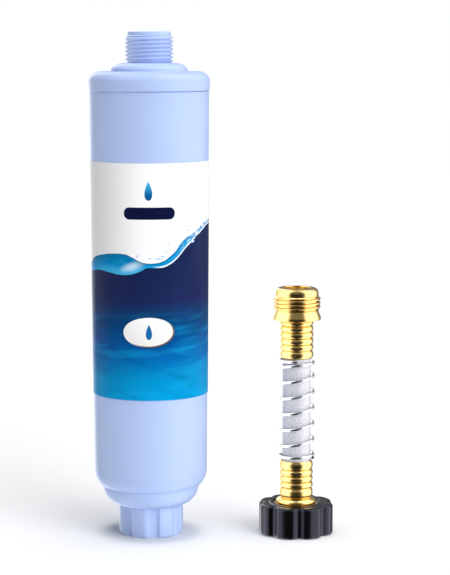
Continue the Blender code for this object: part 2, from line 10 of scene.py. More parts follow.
import bmesh
import bpy
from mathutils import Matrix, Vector


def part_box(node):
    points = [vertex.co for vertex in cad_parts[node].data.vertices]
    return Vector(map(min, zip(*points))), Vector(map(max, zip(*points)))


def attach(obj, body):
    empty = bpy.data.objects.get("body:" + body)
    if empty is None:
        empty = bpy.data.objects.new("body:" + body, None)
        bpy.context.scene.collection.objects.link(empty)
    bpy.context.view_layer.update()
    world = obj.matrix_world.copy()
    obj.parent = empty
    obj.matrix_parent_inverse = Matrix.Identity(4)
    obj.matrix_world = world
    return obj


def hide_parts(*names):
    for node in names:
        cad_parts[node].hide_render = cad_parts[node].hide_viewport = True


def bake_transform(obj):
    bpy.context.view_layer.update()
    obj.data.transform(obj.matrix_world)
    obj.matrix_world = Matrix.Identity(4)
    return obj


bl_info = {
    "name": "Inline Water Filter",
    "version": (1, 0, 0),
    "blender": (4, 5, 0),
    "location": "View3D > Sidebar > Filter",
    "description": "Models the pieces of an inline water filter and its hose protector",
    "category": "Add Mesh",
}

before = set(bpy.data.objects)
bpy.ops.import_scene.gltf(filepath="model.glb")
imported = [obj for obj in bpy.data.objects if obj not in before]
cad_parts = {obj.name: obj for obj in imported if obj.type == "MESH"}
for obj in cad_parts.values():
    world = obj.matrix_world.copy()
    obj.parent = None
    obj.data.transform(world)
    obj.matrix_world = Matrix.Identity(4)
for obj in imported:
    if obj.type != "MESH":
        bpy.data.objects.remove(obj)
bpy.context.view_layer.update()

MM = 0.001
ROUND = 140                 # points round the filter's pieces, a multiple of the collar's panels
FINE_ROUND = 96             # points round the protector's pieces
THREAD_STEPS = 96           # sections to a turn of a thread
WELD = 0.004 * MM           # points closer than this are one point
GAP = 0.3 * MM              # left between pieces that touch
CRISP = 0.3 * MM            # rounding of a crisp edge
EASED = 0.5 * MM            # rounding of an eased edge

# hose threads
THREAD_PLAY = 0.13 * MM     # a female thread's wall outside a male thread's crest
THREAD_BASE = 0.94          # width of a thread's root, in pitches
THREAD_TIP = 0.36           # width of its crest, in widths of its root
THREAD_ROUND = 0.3 * MM     # rounding of its crest
THREAD_SINK = 0.4 * MM      # how far it is let into its wall

# the filter: heights from its foot, widths inwards from the wall
FLOOR_HEIGHT = 20.6 * MM    # inside floor round the inlet's bore
FILLET_IN = 3.7 * MM
STEP_IN = 1.1 * MM
BOWL_IN = 6.0 * MM
LEDGE_WIDTH = 4.6 * MM      # ledge that carries the lower grid
INLET_BORE = 6.5 * MM
NECK_BORE = 7.5 * MM
NECK_LENGTH = 17.4 * MM
BOSS_HEIGHT = 4.7 * MM
SHOULDER_ROUND = (6.0 * MM, 5.2 * MM)
BOSS_SLOPE = 7.4 * MM
FILM = 0.2 * MM             # the label's thickness
FILM_LIFT = 0.12 * MM       # between the wall and the label
GRID_HOLE = 2.4 * MM
GRID_RINGS = ((1, 0.0), (6, 0.36), (10, 0.76))       # holes in a ring, and its share of the radius
WASHER_HOLE = 8.0 * MM

# the protector
LINER_WALL = 1.5 * MM
BRAID_WALL = 0.55 * MM
BARB_DEPTH = 1.8 * MM       # from the liner's outside in to a barb's crest
BARB_WALL = 1.7 * MM
BARB_TOOTH = 0.5 * MM
FLANGE = 2.4 * MM           # thickness of the tailpiece's flange
FLARE = 2.0 * MM            # height of the lower ferrule's flared ring
LOWER_GROOVES = (6.5 * MM, 4)                        # height of a ferrule's first groove, and their number
UPPER_GROOVES = (4.4 * MM, 5)
NUT_PLAY = 0.5 * MM         # between the hose's stem and the nut
NUT_NECK = 4.4 * MM         # wall of the nut's neck
NUT_NECK_HEIGHT = 2.2 * MM
GRIP_HOLE = 5.2 * MM        # from the hose's stem out to the grip's opening
GRIP_TOP = 2.5 * MM         # thickness of the grip's top
FITTING_FLANGE = 5.2 * MM   # height of the male fitting's sloped flange
NOSE_HEIGHT = 4.6 * MM      # nose above the male fitting's thread
NOSE_IN = 1.15 * MM         # from the thread's crest in to the nose
COUNTERBORE = 14.0 * MM     # depth of the male fitting's wide bore
END_GAP = 0.35 * MM         # between the spring's closed end turns
GRIP_CUT = 2.6 * MM         # rounding of the grip's top edge, and the width of its top ring's slope


# ---- places taken from the frame ----

def extent(node):
    """Axis x, bottom, top and radius of a round piece of the frame."""
    low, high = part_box(node)
    return (low.x + high.x) / 2, low.z, high.z, (high.y - low.y) / 2


def shade(red, green, blue):
    """A colour given in 0 to 255 display values, as linear light."""
    linear = []
    for value in (red, green, blue):
        part = value / 255
        linear.append(part / 12.92 if part <= 0.04045 else ((part + 0.055) / 1.055) ** 2.4)
    return tuple(linear)


def length(name, description, millimetres):
    """A length that a user can set."""
    return bpy.props.FloatProperty(
        name=name, description=description, default=millimetres * MM, unit="LENGTH", precision=5, min=0.0
    )


def bearing(name, description, degrees):
    """An angle that a user can set."""
    return bpy.props.FloatProperty(
        name=name, description=description, default=math.radians(degrees), subtype="ANGLE"
    )


def amount(name, description, default, least=0.0):
    """A plain number that a user can set."""
    return bpy.props.FloatProperty(name=name, description=description, default=default, min=least)


def how_many(name, description, default):
    """A number of like features that a user can set."""
    return bpy.props.IntProperty(name=name, description=description, default=default, min=3)


def tint(name, description, display):
    """A colour that a user can set."""
    return bpy.props.FloatVectorProperty(
        name=name, description=description, subtype="COLOR", size=3, min=0.0, max=1.0, default=shade(*display)
    )


class FilterSizes(bpy.types.PropertyGroup):
    """Sizes of the filter."""
    thread_major: length("Thread", "Diameter over the hose thread's crests", 26.99)
    thread_pitch: length("Thread pitch", "Rise of the hose thread in one turn", 25.4 / 11.5)
    thread_depth: length("Thread depth", "From a thread's root to its crest", 1.43)
    wall: length("Wall", "Wall of the canister and the cap", 2.6)
    draft: length("Draft", "How much the canister narrows down to its foot", 1.45)
    collar_height: length("Collar height", "Height of the inlet collar", 17.8)
    collar_wall: length("Collar wall", "From the socket's wall to a grip panel's face", 4.6)
    groove_depth: length("Groove depth", "Depth of the grooves between the collar's panels", 1.7)
    step_height: length("Step height", "Height of the ledge round the foot", 28.5)
    fillet_top: length("Fillet top", "Height where the foot starts to draw in", 37.4)
    boss: length("Boss", "Diameter of the boss under the neck", 42.8)
    panels: how_many("Panels", "Grip panels round the collar", 7)
    collar_turn: bearing("Collar turn", "Turn of the collar's grooves", 6)


class ProtectorSizes(bpy.types.PropertyGroup):
    """Sizes of the hose protector."""
    hose: length("Hose", "Outside diameter of the hose", 16.1)
    ferrule_wall: length("Ferrule wall", "Wall of the crimped sleeves", 1.2)
    bead_depth: length("Bead depth", "Depth of the grooves between the sleeves' beads", 0.92)
    bead_pitch: length("Bead pitch", "From one groove of a sleeve to the next", 3.58)
    wire: length("Spring wire", "Diameter of the spring's wire", 1.75)
    coil: length("Coil", "Radius of the spring at the middle of its wire", 9.45)
    grip_radius: length("Grip radius", "Radius of the nut's grip over its lobes", 21.4)
    grip_valley: length("Grip valley", "Depth of the valleys between the lobes", 2.3)
    lobes: how_many("Lobes", "Lobes round the nut's grip", 8)
    open_turns: amount("Open turns", "Turns of the spring between its closed ends", 5.75, 1.0)
    grip_turn: bearing("Grip turn", "Turn of the grip's lobes", 26)


class Finishes(bpy.types.PropertyGroup):
    """Colours of the materials."""
    plastic: tint("Plastic", "Moulded periwinkle plastic", (181, 201, 245))
    brass: tint("Brass", "Turned brass", (226, 192, 122))
    steel: tint("Steel", "Spring wire", (214, 216, 220))
    grip: tint("Grip", "Glossy black plastic of the grip", (12, 12, 14))
    rubber: tint("Rubber", "Black rubber of the washers", (34, 34, 36))
    white_plastic: tint("White plastic", "Support grids", (236, 237, 237))
    felt: tint("Felt", "Needled felt of the pads", (240, 240, 234))
    carbon: tint("Carbon", "Granular carbon", (33, 33, 35))
    bronze: tint("Bronze", "Copper-zinc granules", (176, 138, 66))
    braid: tint("Braid", "Braid of the hose", (240, 239, 248))
    vinyl: tint("Vinyl", "Inner tube of the hose", (222, 224, 224))


class LabelColours(bpy.types.PropertyGroup):
    """Inks of the label."""
    paper: tint("Paper", "Plain upper field", (250, 251, 252))
    navy: tint("Navy", "Deep water below the wave", (26, 38, 84))
    deep: tint("Deep blue", "Middle of the lower field", (0, 92, 168))
    bright: tint("Bright blue", "Foot of the lower field", (0, 158, 222))
    ribbon: tint("Ribbon", "The wave's body", (0, 140, 204))
    foam: tint("Foam", "The wave's highlights", (206, 234, 250))
    silver: tint("Silver", "Plain oval seal", (236, 233, 230))


class Stage(bpy.types.PropertyGroup):
    """Camera, lights and floor."""
    distance: length("Distance", "From the camera to the filter's axis, along the floor", 1131.0)
    height: length("Height", "Height of the camera above the floor", 282.7)
    aside: length("Aside", "How far the camera stands to the right of the filter's axis", 42.3)
    lens: bpy.props.FloatProperty(name="Lens", description="Focal length", default=126.2, unit="CAMERA")
    dip: bearing("Dip", "How far the camera looks down", 7.14)
    key: amount("Key", "Strength of the light from the right", 2.2)
    overhead: amount("Overhead", "Strength of the light from above", 2.2)
    ambient: amount("Ambient", "Strength of the room's light", 0.1)


# ---- modelling by operators ----

def deselect():
    """Nothing selected."""
    bpy.ops.object.select_all(action="DESELECT")


def pick(obj):
    """Only obj selected, and active."""
    deselect()
    obj.select_set(True)
    bpy.context.view_layer.objects.active = obj


def edit(obj):
    """Only obj selected, in edit mode."""
    pick(obj)
    bpy.ops.object.mode_set(mode="EDIT")


def started(name):
    """The new primitive, named, in edit mode and selected all over."""
    obj = bpy.context.object
    obj.name = name
    obj.data.name = name
    edit(obj)
    bpy.ops.mesh.select_all(action="SELECT")
    return obj


def choose(obj, wanted):
    """In edit mode, select the points for which wanted(point) is true."""
    mesh = bmesh.from_edit_mesh(obj.data)
    for vertex in mesh.verts:
        vertex.select = wanted(vertex)
    mesh.select_flush_mode()
    bmesh.update_edit_mesh(obj.data)


def shape(obj, kind, **settings):
    """Add a modifier with its settings and apply it."""
    modifier = obj.modifiers.new("shape", kind)
    for name, value in settings.items():
        setattr(modifier, name, value)
    bpy.ops.object.modifier_apply(modifier=modifier.name)


def tidy(obj):
    """Close the mesh, point its faces outwards and leave edit mode, with its place in its mesh."""
    bpy.ops.mesh.select_all(action="SELECT")
    bpy.ops.mesh.remove_doubles(threshold=WELD)
    bpy.ops.mesh.normals_make_consistent(inside=False)
    bpy.ops.object.mode_set(mode="OBJECT")
    bpy.ops.object.transform_apply(location=True, rotation=True, scale=True)
    return obj


def lathe(name, outline, around, axis_x):
    """A closed outline of (r, z) points turned round a vertical axis: a ring, extruded and resized."""
    deselect()
    radius, z = outline[0]
    place = (axis_x, 0, z)
    bpy.ops.mesh.primitive_circle_add(vertices=around, radius=radius, location=place, fill_type="NOTHING")
    obj = started(name)
    for next_radius, next_z in list(outline[1:]) + [outline[0]]:
        bpy.ops.mesh.extrude_edges_move(TRANSFORM_OT_translate={"value": (0, 0, next_z - z)})
        ratio = next_radius / radius
        bpy.ops.transform.resize(value=(ratio, ratio, 1), center_override=(axis_x, 0, next_z))
        radius, z = next_radius, next_z
    return tidy(obj)


def soften(corners, steps=3):
    """An outline from corners (r, z, cut), each corner rounded off over its cut."""
    outline = []
    for index, (radius, z, cut) in enumerate(corners):
        here = Vector((radius, z))
        if cut == 0:
            outline.append((radius, z))
            continue
        ends = []
        for other in (corners[index - 1], corners[(index + 1) % len(corners)]):
            side = Vector(other[:2]) - here
            room = max(side.length - other[2] - 0.1 * MM, side.length * 0.45)
            ends.append(here + side.normalized() * min(cut, room))
        start, end = ends
        for step in range(steps + 1):
            t = step / steps
            point = start * (1 - t) ** 2 + here * 2 * t * (1 - t) + end * t ** 2
            outline.append((point.x, point.y))
    return outline


def sharp(points):
    """Points (r, z) as corners that stay as they are."""
    return [(radius, z, 0) for radius, z in points]


def draw_in(start, end, steps, rise):
    """Points (r, z) on part of an ellipse that leaves start along z and turns in to end."""
    points = []
    for step in range(steps + 1):
        angle = math.radians(rise) * step / steps
        across = (1 - math.cos(angle)) / (1 - math.cos(math.radians(rise)))
        along = math.sin(angle) / math.sin(math.radians(rise))
        points.append((start[0] + (end[0] - start[0]) * across, start[1] + (end[1] - start[1]) * along))
    return points


def levels(low, high, steps):
    """Heights at equal steps from low to high."""
    return [low + (high - low) * step / steps for step in range(steps + 1)]


def press(obj, axis_x, heights, inner, new_radius):
    """Move outer points in or out. new_radius gives a point's radius from (radius, angle from -Y)."""
    edit(obj)
    groups = {}
    mesh = bmesh.from_edit_mesh(obj.data)
    for vertex in mesh.verts:
        x, y, z = vertex.co.x - axis_x, vertex.co.y, vertex.co.z
        radius = math.hypot(x, y)
        if heights[0] <= z <= heights[1] and radius > inner:
            ratio = new_radius(radius, math.atan2(x, -y)) / radius
            if ratio < 0.99999:
                groups.setdefault(round(ratio, 5), set()).add(vertex.index)
    for ratio, members in sorted(groups.items()):
        choose(obj, lambda vertex: vertex.index in members)
        bpy.ops.transform.resize(value=(ratio, ratio, 1), center_override=(axis_x, 0, 0))
    bpy.ops.object.mode_set(mode="OBJECT")


def combine(obj, other, operation):
    """Apply a Boolean of obj with other, and remove other."""
    pick(obj)
    shape(obj, "BOOLEAN", operation=operation, solver="EXACT", object=other)
    bpy.data.objects.remove(other, do_unlink=True)


def smooth(obj, degrees=32):
    """Shade smooth, with edges kept where faces meet at more than an angle."""
    pick(obj)
    bpy.ops.object.shade_smooth_by_angle(angle=math.radians(degrees))
    return obj


def add_thread(obj, axis_x, wall, crest, low, high, shift=0.0):
    """Join a right-hand screw thread on to a wall, with its ends run out at a slope."""
    sizes = bpy.context.scene.filter_sizes
    pitch = sizes.thread_pitch
    out = 1 if crest > wall else -1
    root = wall - out * THREAD_SINK
    middle = (root + crest) / 2
    deselect()
    centre = (middle, 0, low - pitch + shift)
    bpy.ops.mesh.primitive_plane_add(size=1, location=centre, rotation=(math.pi / 2, 0, 0))
    ridge = started("thread_ridge")
    bpy.ops.transform.resize(value=(abs(crest - root), 1, THREAD_BASE * pitch), center_override=centre)
    bpy.ops.mesh.delete(type="ONLY_FACE")
    choose(ridge, lambda vertex: vertex.co.x * out > 0)
    bpy.ops.transform.resize(value=(1, 1, THREAD_TIP), center_override=centre)
    bpy.ops.mesh.bevel(offset=THREAD_ROUND, segments=3, affect="VERTICES")
    bpy.ops.object.mode_set(mode="OBJECT")
    bpy.ops.object.transform_apply(location=True, rotation=True, scale=True)
    shape(
        ridge, "SCREW", angle=2 * math.pi, screw_offset=pitch, iterations=math.ceil((high - low) / pitch) + 2,
        steps=THREAD_STEPS, render_steps=THREAD_STEPS, use_merge_vertices=False,
    )
    edit(ridge)
    bpy.ops.mesh.select_all(action="SELECT")
    bpy.ops.transform.translate(value=(axis_x, 0, 0))
    bpy.ops.mesh.fill_holes(sides=16)
    tidy(ridge)
    slope = abs(crest - wall)
    back = root - out * 0.3 * MM
    reach = crest + out * 0.2 * MM
    outline = [
        (back, low), (wall, low), (reach, low + slope), (reach, high - slope), (wall, high), (back, high),
    ]
    combine(ridge, lathe("thread_room", outline, THREAD_STEPS, axis_x), "INTERSECT")
    combine(obj, ridge, "UNION")


def dress(obj, body, slot, finish, *nodes):
    """Give a finished piece its material and its body, and hide the frame's nodes that it stands for."""
    obj.visible_glossy = body != "filter"
    obj.data.materials.clear()
    obj.data.materials.append(finish)
    if body:
        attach(obj, body)
    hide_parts(*nodes)
    return obj


# ---- material nodes ----

class Signal:
    """A socket of a material. Python's operators on it add Math nodes."""

    def __init__(self, graph, socket):
        self.graph = graph
        self.socket = socket

    def maths(self, operation, *values):
        return self.graph.node("ShaderNodeMath", {"operation": operation}, dict(enumerate(values)))

    def __add__(self, other):
        return self.maths("ADD", self, other)

    __radd__ = __add__

    def __sub__(self, other):
        return self.maths("SUBTRACT", self, other)

    def __rsub__(self, other):
        return self.maths("SUBTRACT", other, self)

    def __mul__(self, other):
        return self.maths("MULTIPLY", self, other)

    __rmul__ = __mul__

    def __truediv__(self, other):
        return self.maths("DIVIDE", self, other)

    def __rtruediv__(self, other):
        return self.maths("DIVIDE", other, self)

    def __neg__(self):
        return self.maths("MULTIPLY", self, -1.0)

    def __abs__(self):
        return self.maths("ABSOLUTE", self)

    def wave(self):
        """Sine of the value."""
        return self.maths("SINE", self)

    def root(self):
        """Square root of the value."""
        return self.maths("SQRT", self)

    def most(self, other):
        """The larger of two values."""
        return self.maths("MAXIMUM", self, other)


class Graph:
    """The nodes of one material or of the world."""

    def __init__(self, tree):
        self.tree = tree

    def node(self, kind, settings=None, inputs=None, output=0):
        """Add a node with its settings, then the values or links of its inputs. Returns one output."""
        made = self.tree.nodes.new(kind)
        for name, value in (settings or {}).items():
            if name == "stops":
                self.set_stops(made.color_ramp.elements, value)
            elif name == "points":
                self.set_points(made.mapping, value)
            else:
                setattr(made, name, value)
        for key, value in (inputs or {}).items():
            socket = made.inputs[key] if isinstance(key, int) else self.find(made.inputs, key)
            if isinstance(value, Signal):
                self.tree.links.new(value.socket, socket)
            else:
                socket.default_value = value
        found = made.outputs[output] if isinstance(output, int) else self.find(made.outputs, output)
        return Signal(self, found)

    @staticmethod
    def find(sockets, key):
        """A socket by its identifier or its name."""
        for socket in sockets:
            if key in (socket.identifier, socket.name):
                return socket
        raise KeyError(key)

    @staticmethod
    def set_stops(elements, stops):
        """Give a colour ramp its stops of (position, colour)."""
        while len(elements) < len(stops):
            elements.new(0.5)
        for element, (position, colour) in zip(elements, stops):
            element.position = position
            element.color = (*colour, 1.0)

    @staticmethod
    def set_points(mapping, points):
        """Give a float curve its points."""
        curve = mapping.curves[0]
        curve.points[0].location = points[0]
        curve.points[1].location = points[-1]
        for point in points[1:-1]:
            curve.points.new(*point)
        mapping.update()

    def place(self, axis_x=0.0):
        """The point on the surface, in metres, from a vertical axis."""
        coordinates = self.node("ShaderNodeTexCoord", output="Object")
        return self.node("ShaderNodeMapping", None, {"Vector": coordinates, "Location": (-axis_x, 0, 0)})

    def parts(self, vector):
        """The three numbers of a vector."""
        split = self.node("ShaderNodeSeparateXYZ", None, {0: vector})
        return [Signal(self, socket) for socket in split.socket.node.outputs]

    def joined(self, first, second):
        """A vector of two numbers."""
        return self.node("ShaderNodeCombineXYZ", None, {0: first, 1: second})

    def stretched(self, vector, scale):
        """A vector with each number scaled."""
        return self.node("ShaderNodeMapping", None, {"Vector": vector, "Scale": scale})

    def noise(self, vector, scale, detail=2.0, roughness=0.5):
        """Soft noise, 0 to 1."""
        settings = {"Vector": vector, "Scale": scale, "Detail": detail, "Roughness": roughness}
        return self.node("ShaderNodeTexNoise", None, settings)

    def grains(self, vector, scale, output="Distance"):
        """Cells like packed grains: distance from a grain's middle, or a colour for each grain."""
        return self.node("ShaderNodeTexVoronoi", None, {"Vector": vector, "Scale": scale}, output)

    def rise(self, value, low, high):
        """0 below low, 1 above high, and smooth between."""
        settings = {"interpolation_type": "SMOOTHSTEP"}
        return self.node("ShaderNodeMapRange", settings, {"Value": value, "From Min": low, "From Max": high})

    def span(self, value, low, high):
        """A noise of 0 to 1 brought to a range."""
        return value * (high - low) + low

    def mix(self, factor, first, second):
        """One colour laid over another."""
        values = {"Factor_Float": factor}
        for key, colour in (("A_Color", first), ("B_Color", second)):
            values[key] = colour if isinstance(colour, Signal) else (*colour, 1.0)
        return self.node("ShaderNodeMix", {"data_type": "RGBA"}, values, "Result_Color")

    def bump(self, height, distance, strength=1.0):
        """A normal from a height, over a distance in metres."""
        values = {"Height": height, "Distance": distance, "Strength": strength}
        return self.node("ShaderNodeBump", None, values)


class Finish(Graph):
    """One material and its shader."""

    def __init__(self, name):
        self.material = bpy.data.materials.new(name)
        self.material.use_nodes = True
        super().__init__(self.material.node_tree)
        self.shader = self.tree.nodes["Principled BSDF"]

    def set(self, **values):
        """Set sockets of the shader, named with _ for a space."""
        for name, value in values.items():
            socket = self.shader.inputs[name.replace("_", " ")]
            if isinstance(value, Signal):
                self.tree.links.new(value.socket, socket)
            elif isinstance(value, tuple):
                socket.default_value = (*value, 1.0)
            else:
                socket.default_value = value
        return self.material


def scaled(colour, factor):
    """A colour made lighter or darker."""
    return tuple(min(1.0, part * factor) for part in colour)


def begin(name, colour):
    """A new material, the point on its surface, and one of the finishes' colours."""
    finish = Finish(name)
    return finish, finish.place(), tuple(getattr(bpy.context.scene.finishes, colour))


def moulded_plastic(name):
    """Satin moulded plastic: faint flow marks, a fine skin and slightly uneven gloss."""
    finish, place, colour = begin(name, "plastic")
    cloud = finish.noise(place, 30.0, 3.0)
    flow = finish.noise(finish.stretched(place, (1, 1, 0.15)), 160.0, 3.0)
    skin = finish.noise(place, 2600.0, 2.0)
    base = finish.mix(cloud * 0.6 + flow * 0.4, scaled(colour, 0.95), scaled(colour, 1.04))
    return finish.set(
        Base_Color=base, Roughness=finish.span(flow, 0.30, 0.42), Normal=finish.bump(skin, 0.03 * MM, 0.35),
        Specular_IOR_Level=0.28,
    )


def turned_brass(name, roughness):
    """Bright brass with fine turning lines and a little tarnish."""
    finish, place, colour = begin(name, "brass")
    lines = finish.noise(finish.stretched(place, (0.05, 0.05, 1)), 5200.0, 2.0)
    cloud = finish.noise(place, 140.0, 4.0, 0.6)
    tarnish = finish.rise(cloud, 0.52, 0.78) * 0.12
    base = finish.mix(tarnish, colour, scaled(colour, 0.55))
    return finish.set(
        Base_Color=base, Metallic=1.0, Roughness=finish.span(cloud, roughness * 0.75, roughness * 1.3),
        Normal=finish.bump(lines, 0.02 * MM, 0.4),
    )


def spring_wire():
    """Drawn steel wire: bright, with short streaks along it."""
    finish, place, colour = begin("spring_steel", "steel")
    streaks = finish.noise(finish.stretched(place, (0.3, 0.3, 1)), 2600.0, 3.0)
    cloud = finish.noise(place, 300.0, 3.0)
    base = finish.mix(finish.rise(cloud, 0.5, 0.8) * 0.3, colour, scaled(colour, 0.6))
    return finish.set(
        Base_Color=base, Metallic=1.0, Roughness=finish.span(streaks, 0.14, 0.3),
        Normal=finish.bump(streaks, 0.02 * MM, 0.5),
    )


def gloss_black():
    """Glossy black moulded plastic, with a slight ripple and fine dust-like specks in its gloss."""
    finish, place, colour = begin("grip_black", "grip")
    ripple = finish.noise(place, 220.0, 2.0)
    specks = finish.rise(finish.noise(place, 3200.0, 2.0), 0.62, 0.75)
    base = finish.mix(specks * 0.3, colour, scaled(colour, 2.6))
    return finish.set(
        Base_Color=base, Roughness=specks * 0.12 + ripple * 0.06 + 0.08,
        Normal=finish.bump(ripple, 0.12 * MM, 0.4), Specular_IOR_Level=0.34, Specular_Tint=(0.72, 0.72, 1.0),
    )


def black_rubber(name):
    """Matt black rubber with a faint bloom."""
    finish, place, colour = begin(name, "rubber")
    bloom = finish.noise(place, 260.0, 4.0, 0.65)
    grit = finish.noise(place, 4200.0, 2.0)
    base = finish.mix(finish.rise(bloom, 0.45, 0.8) * 0.6, colour, scaled(colour, 2.2))
    return finish.set(
        Base_Color=base, Roughness=finish.span(bloom, 0.6, 0.85), Normal=finish.bump(grit, 0.04 * MM, 0.6)
    )


def white_grid_plastic():
    """White moulded plastic of the support grids."""
    finish, place, colour = begin("grid_white", "white_plastic")
    cloud = finish.noise(place, 90.0, 3.0)
    skin = finish.noise(place, 2200.0, 2.0)
    base = finish.mix(cloud, scaled(colour, 0.93), colour)
    return finish.set(
        Base_Color=base, Roughness=finish.span(cloud, 0.4, 0.55), Normal=finish.bump(skin, 0.03 * MM, 0.4)
    )


def needled_felt():
    """Needled felt: tangled fibres with small needle marks."""
    finish, place, colour = begin("felt_white", "felt")
    fibres = finish.noise(finish.stretched(place, (1, 0.25, 1)), 3600.0, 4.0, 0.7)
    crossed = finish.noise(finish.stretched(place, (0.25, 1, 1)), 3600.0, 4.0, 0.7)
    marks = finish.rise(finish.grains(place, 620.0), 0.0, 0.22)
    base = finish.mix(fibres.most(crossed) * marks, scaled(colour, 0.72), colour)
    height = fibres.most(crossed) * 0.7 + marks * 0.3
    return finish.set(
        Base_Color=base, Roughness=0.95, Normal=finish.bump(height, 0.25 * MM, 0.8), Sheen_Weight=0.25
    )


def packed_granules(name, colour, size, metallic, roughness):
    """A bed of packed granules, each with its own tone, with painted shade in the gaps between them."""
    finish, place, colour = begin(name, colour)
    scale = 1 / size
    middle = finish.grains(place, scale)
    tone = finish.parts(finish.grains(place, scale, "Color"))[0]
    # painted shade: the gaps between the granules are darkened nearly to black
    shaded_gaps = finish.rise(middle, 0.35, 0.7)
    grain = finish.mix(tone, scaled(colour, 0.55), scaled(colour, 1.5))
    base = finish.mix(shaded_gaps, grain, scaled(colour, 0.12))
    return finish.set(
        Base_Color=base, Metallic=metallic, Roughness=finish.span(tone, roughness * 0.7, roughness),
        Normal=finish.bump(1 - middle, size * 0.6, 0.9),
    )


def braided_hose():
    """White braid under a clear cover, with painted shade in the gaps between its strands, on the tube's own
    lengths: U goes round and V along.
    """
    colour = tuple(bpy.context.scene.finishes.braid)
    finish = Finish("hose_braid")
    across, along = finish.parts(finish.node("ShaderNodeUVMap", {"uv_map": "tube"}))[:2]
    first = across * 22.0 + along * 22.0
    second = across * 22.0 - along * 22.0

    def strand(value):
        return abs((value * math.pi).wave())

    over = finish.rise((first * math.pi).wave() * (second * math.pi).wave(), -0.15, 0.15)
    height = strand(first) * over + strand(second) * (1 - over)
    mottle = finish.noise(finish.joined(across * 6.0, along * 6.0), 9.0, 4.0, 0.7)
    # painted shade: darker where the braid is low, in the gaps between its strands
    shaded_gaps = 1 - finish.rise(height, 0.2, 0.6)
    thread = finish.mix(finish.rise(mottle, 0.4, 0.62), scaled(colour, 0.66), colour)
    base = finish.mix(shaded_gaps * 0.4, thread, scaled(colour, 0.55))
    return finish.set(
        Base_Color=base, Roughness=finish.span(mottle, 0.35, 0.55),
        Normal=finish.bump(height, 0.22 * MM, 0.7), Coat_Weight=0.7, Coat_Roughness=0.08,
    )


def clear_vinyl():
    """Milky vinyl of the inner tube, with faint drawing lines."""
    colour = tuple(bpy.context.scene.finishes.vinyl)
    finish = Finish("hose_vinyl")
    across, along = finish.parts(finish.node("ShaderNodeUVMap", {"uv_map": "tube"}))[:2]
    lines = finish.noise(finish.joined(across * 60.0, along), 4.0, 3.0)
    base = finish.mix(lines, scaled(colour, 0.9), colour)
    return finish.set(
        Base_Color=base, Roughness=finish.span(lines, 0.2, 0.34), Normal=finish.bump(lines, 0.03 * MM, 0.5),
        Transmission_Weight=0.3,
    )


# ---- the label's artwork, on arc and height over the label in millimetres ----

LABEL_RADIUS_MM = 33.0
WAVE_FLOOR = 140.0            # heights that the wave curves span
WAVE_SPAN = 60.0
# the wave's upper and lower edge: turn from the front in degrees, height in millimetres
WAVE_TOP = (
    (-180, 168), (-140, 160), (-110, 154.5), (-85, 155.6), (-66, 160), (-51, 162.1), (-36, 163.2),
    (-23, 163.2), (-16, 161.8), (-9, 159.7), (-3.7, 158.6), (6, 158.4), (14, 159.4), (21, 161.9),
    (27, 164.8), (32, 168.4), (38, 171.6), (46, 173.6), (56, 176.4), (64, 178.6), (76, 179.8), (100, 181),
    (140, 176), (180, 168),
)
WAVE_FOOT = (
    (-180, 163), (-140, 155), (-110, 150.5), (-80, 151.4), (-54, 153.3), (-40, 152.6), (-30, 151.8),
    (-21, 151.8), (-13, 152.7), (-6, 154.3), (0, 155.9), (6, 155.8), (14, 156), (21, 157.5), (27.5, 160),
    (33, 163), (38, 166), (44, 168.6), (52, 171.9), (59, 174.1), (66, 176), (76, 177.9), (100, 178),
    (140, 171), (180, 163),
)
# splashed drops: turn in degrees, height, half length, half width in millimetres, tilt in degrees
DROPS = (
    (53, 174.0, 2.5, 1.2, 42), (64, 177.8, 2.2, 1.0, 34), (47.5, 169.6, 1.5, 0.8, 15),
    (74, 181.0, 1.0, 0.7, 30), (12.4, 161.4, 1.9, 0.65, 32), (17.5, 164.8, 1.2, 0.45, 55),
    (20, 168.6, 0.7, 0.5, 0), (41, 176.2, 0.9, 0.6, 0), (2, 160.9, 0.6, 0.45, 0),
    (37.5, 178.6, 0.6, 0.45, 0), (-10, 162.2, 0.7, 0.5, 20), (8, 160.6, 0.6, 0.4, 0),
)
PILL = (1.6, 185.8, 14.3, 3.35, 3.1)          # turn, height, half length, half height, corner
SEAL = (0.7, 119.9, 14.7, 8.4)               # turn, height, half length, half height
SIGN = (0.8, 198.2, 5.4)                     # turn, height, half height of the plain droplet


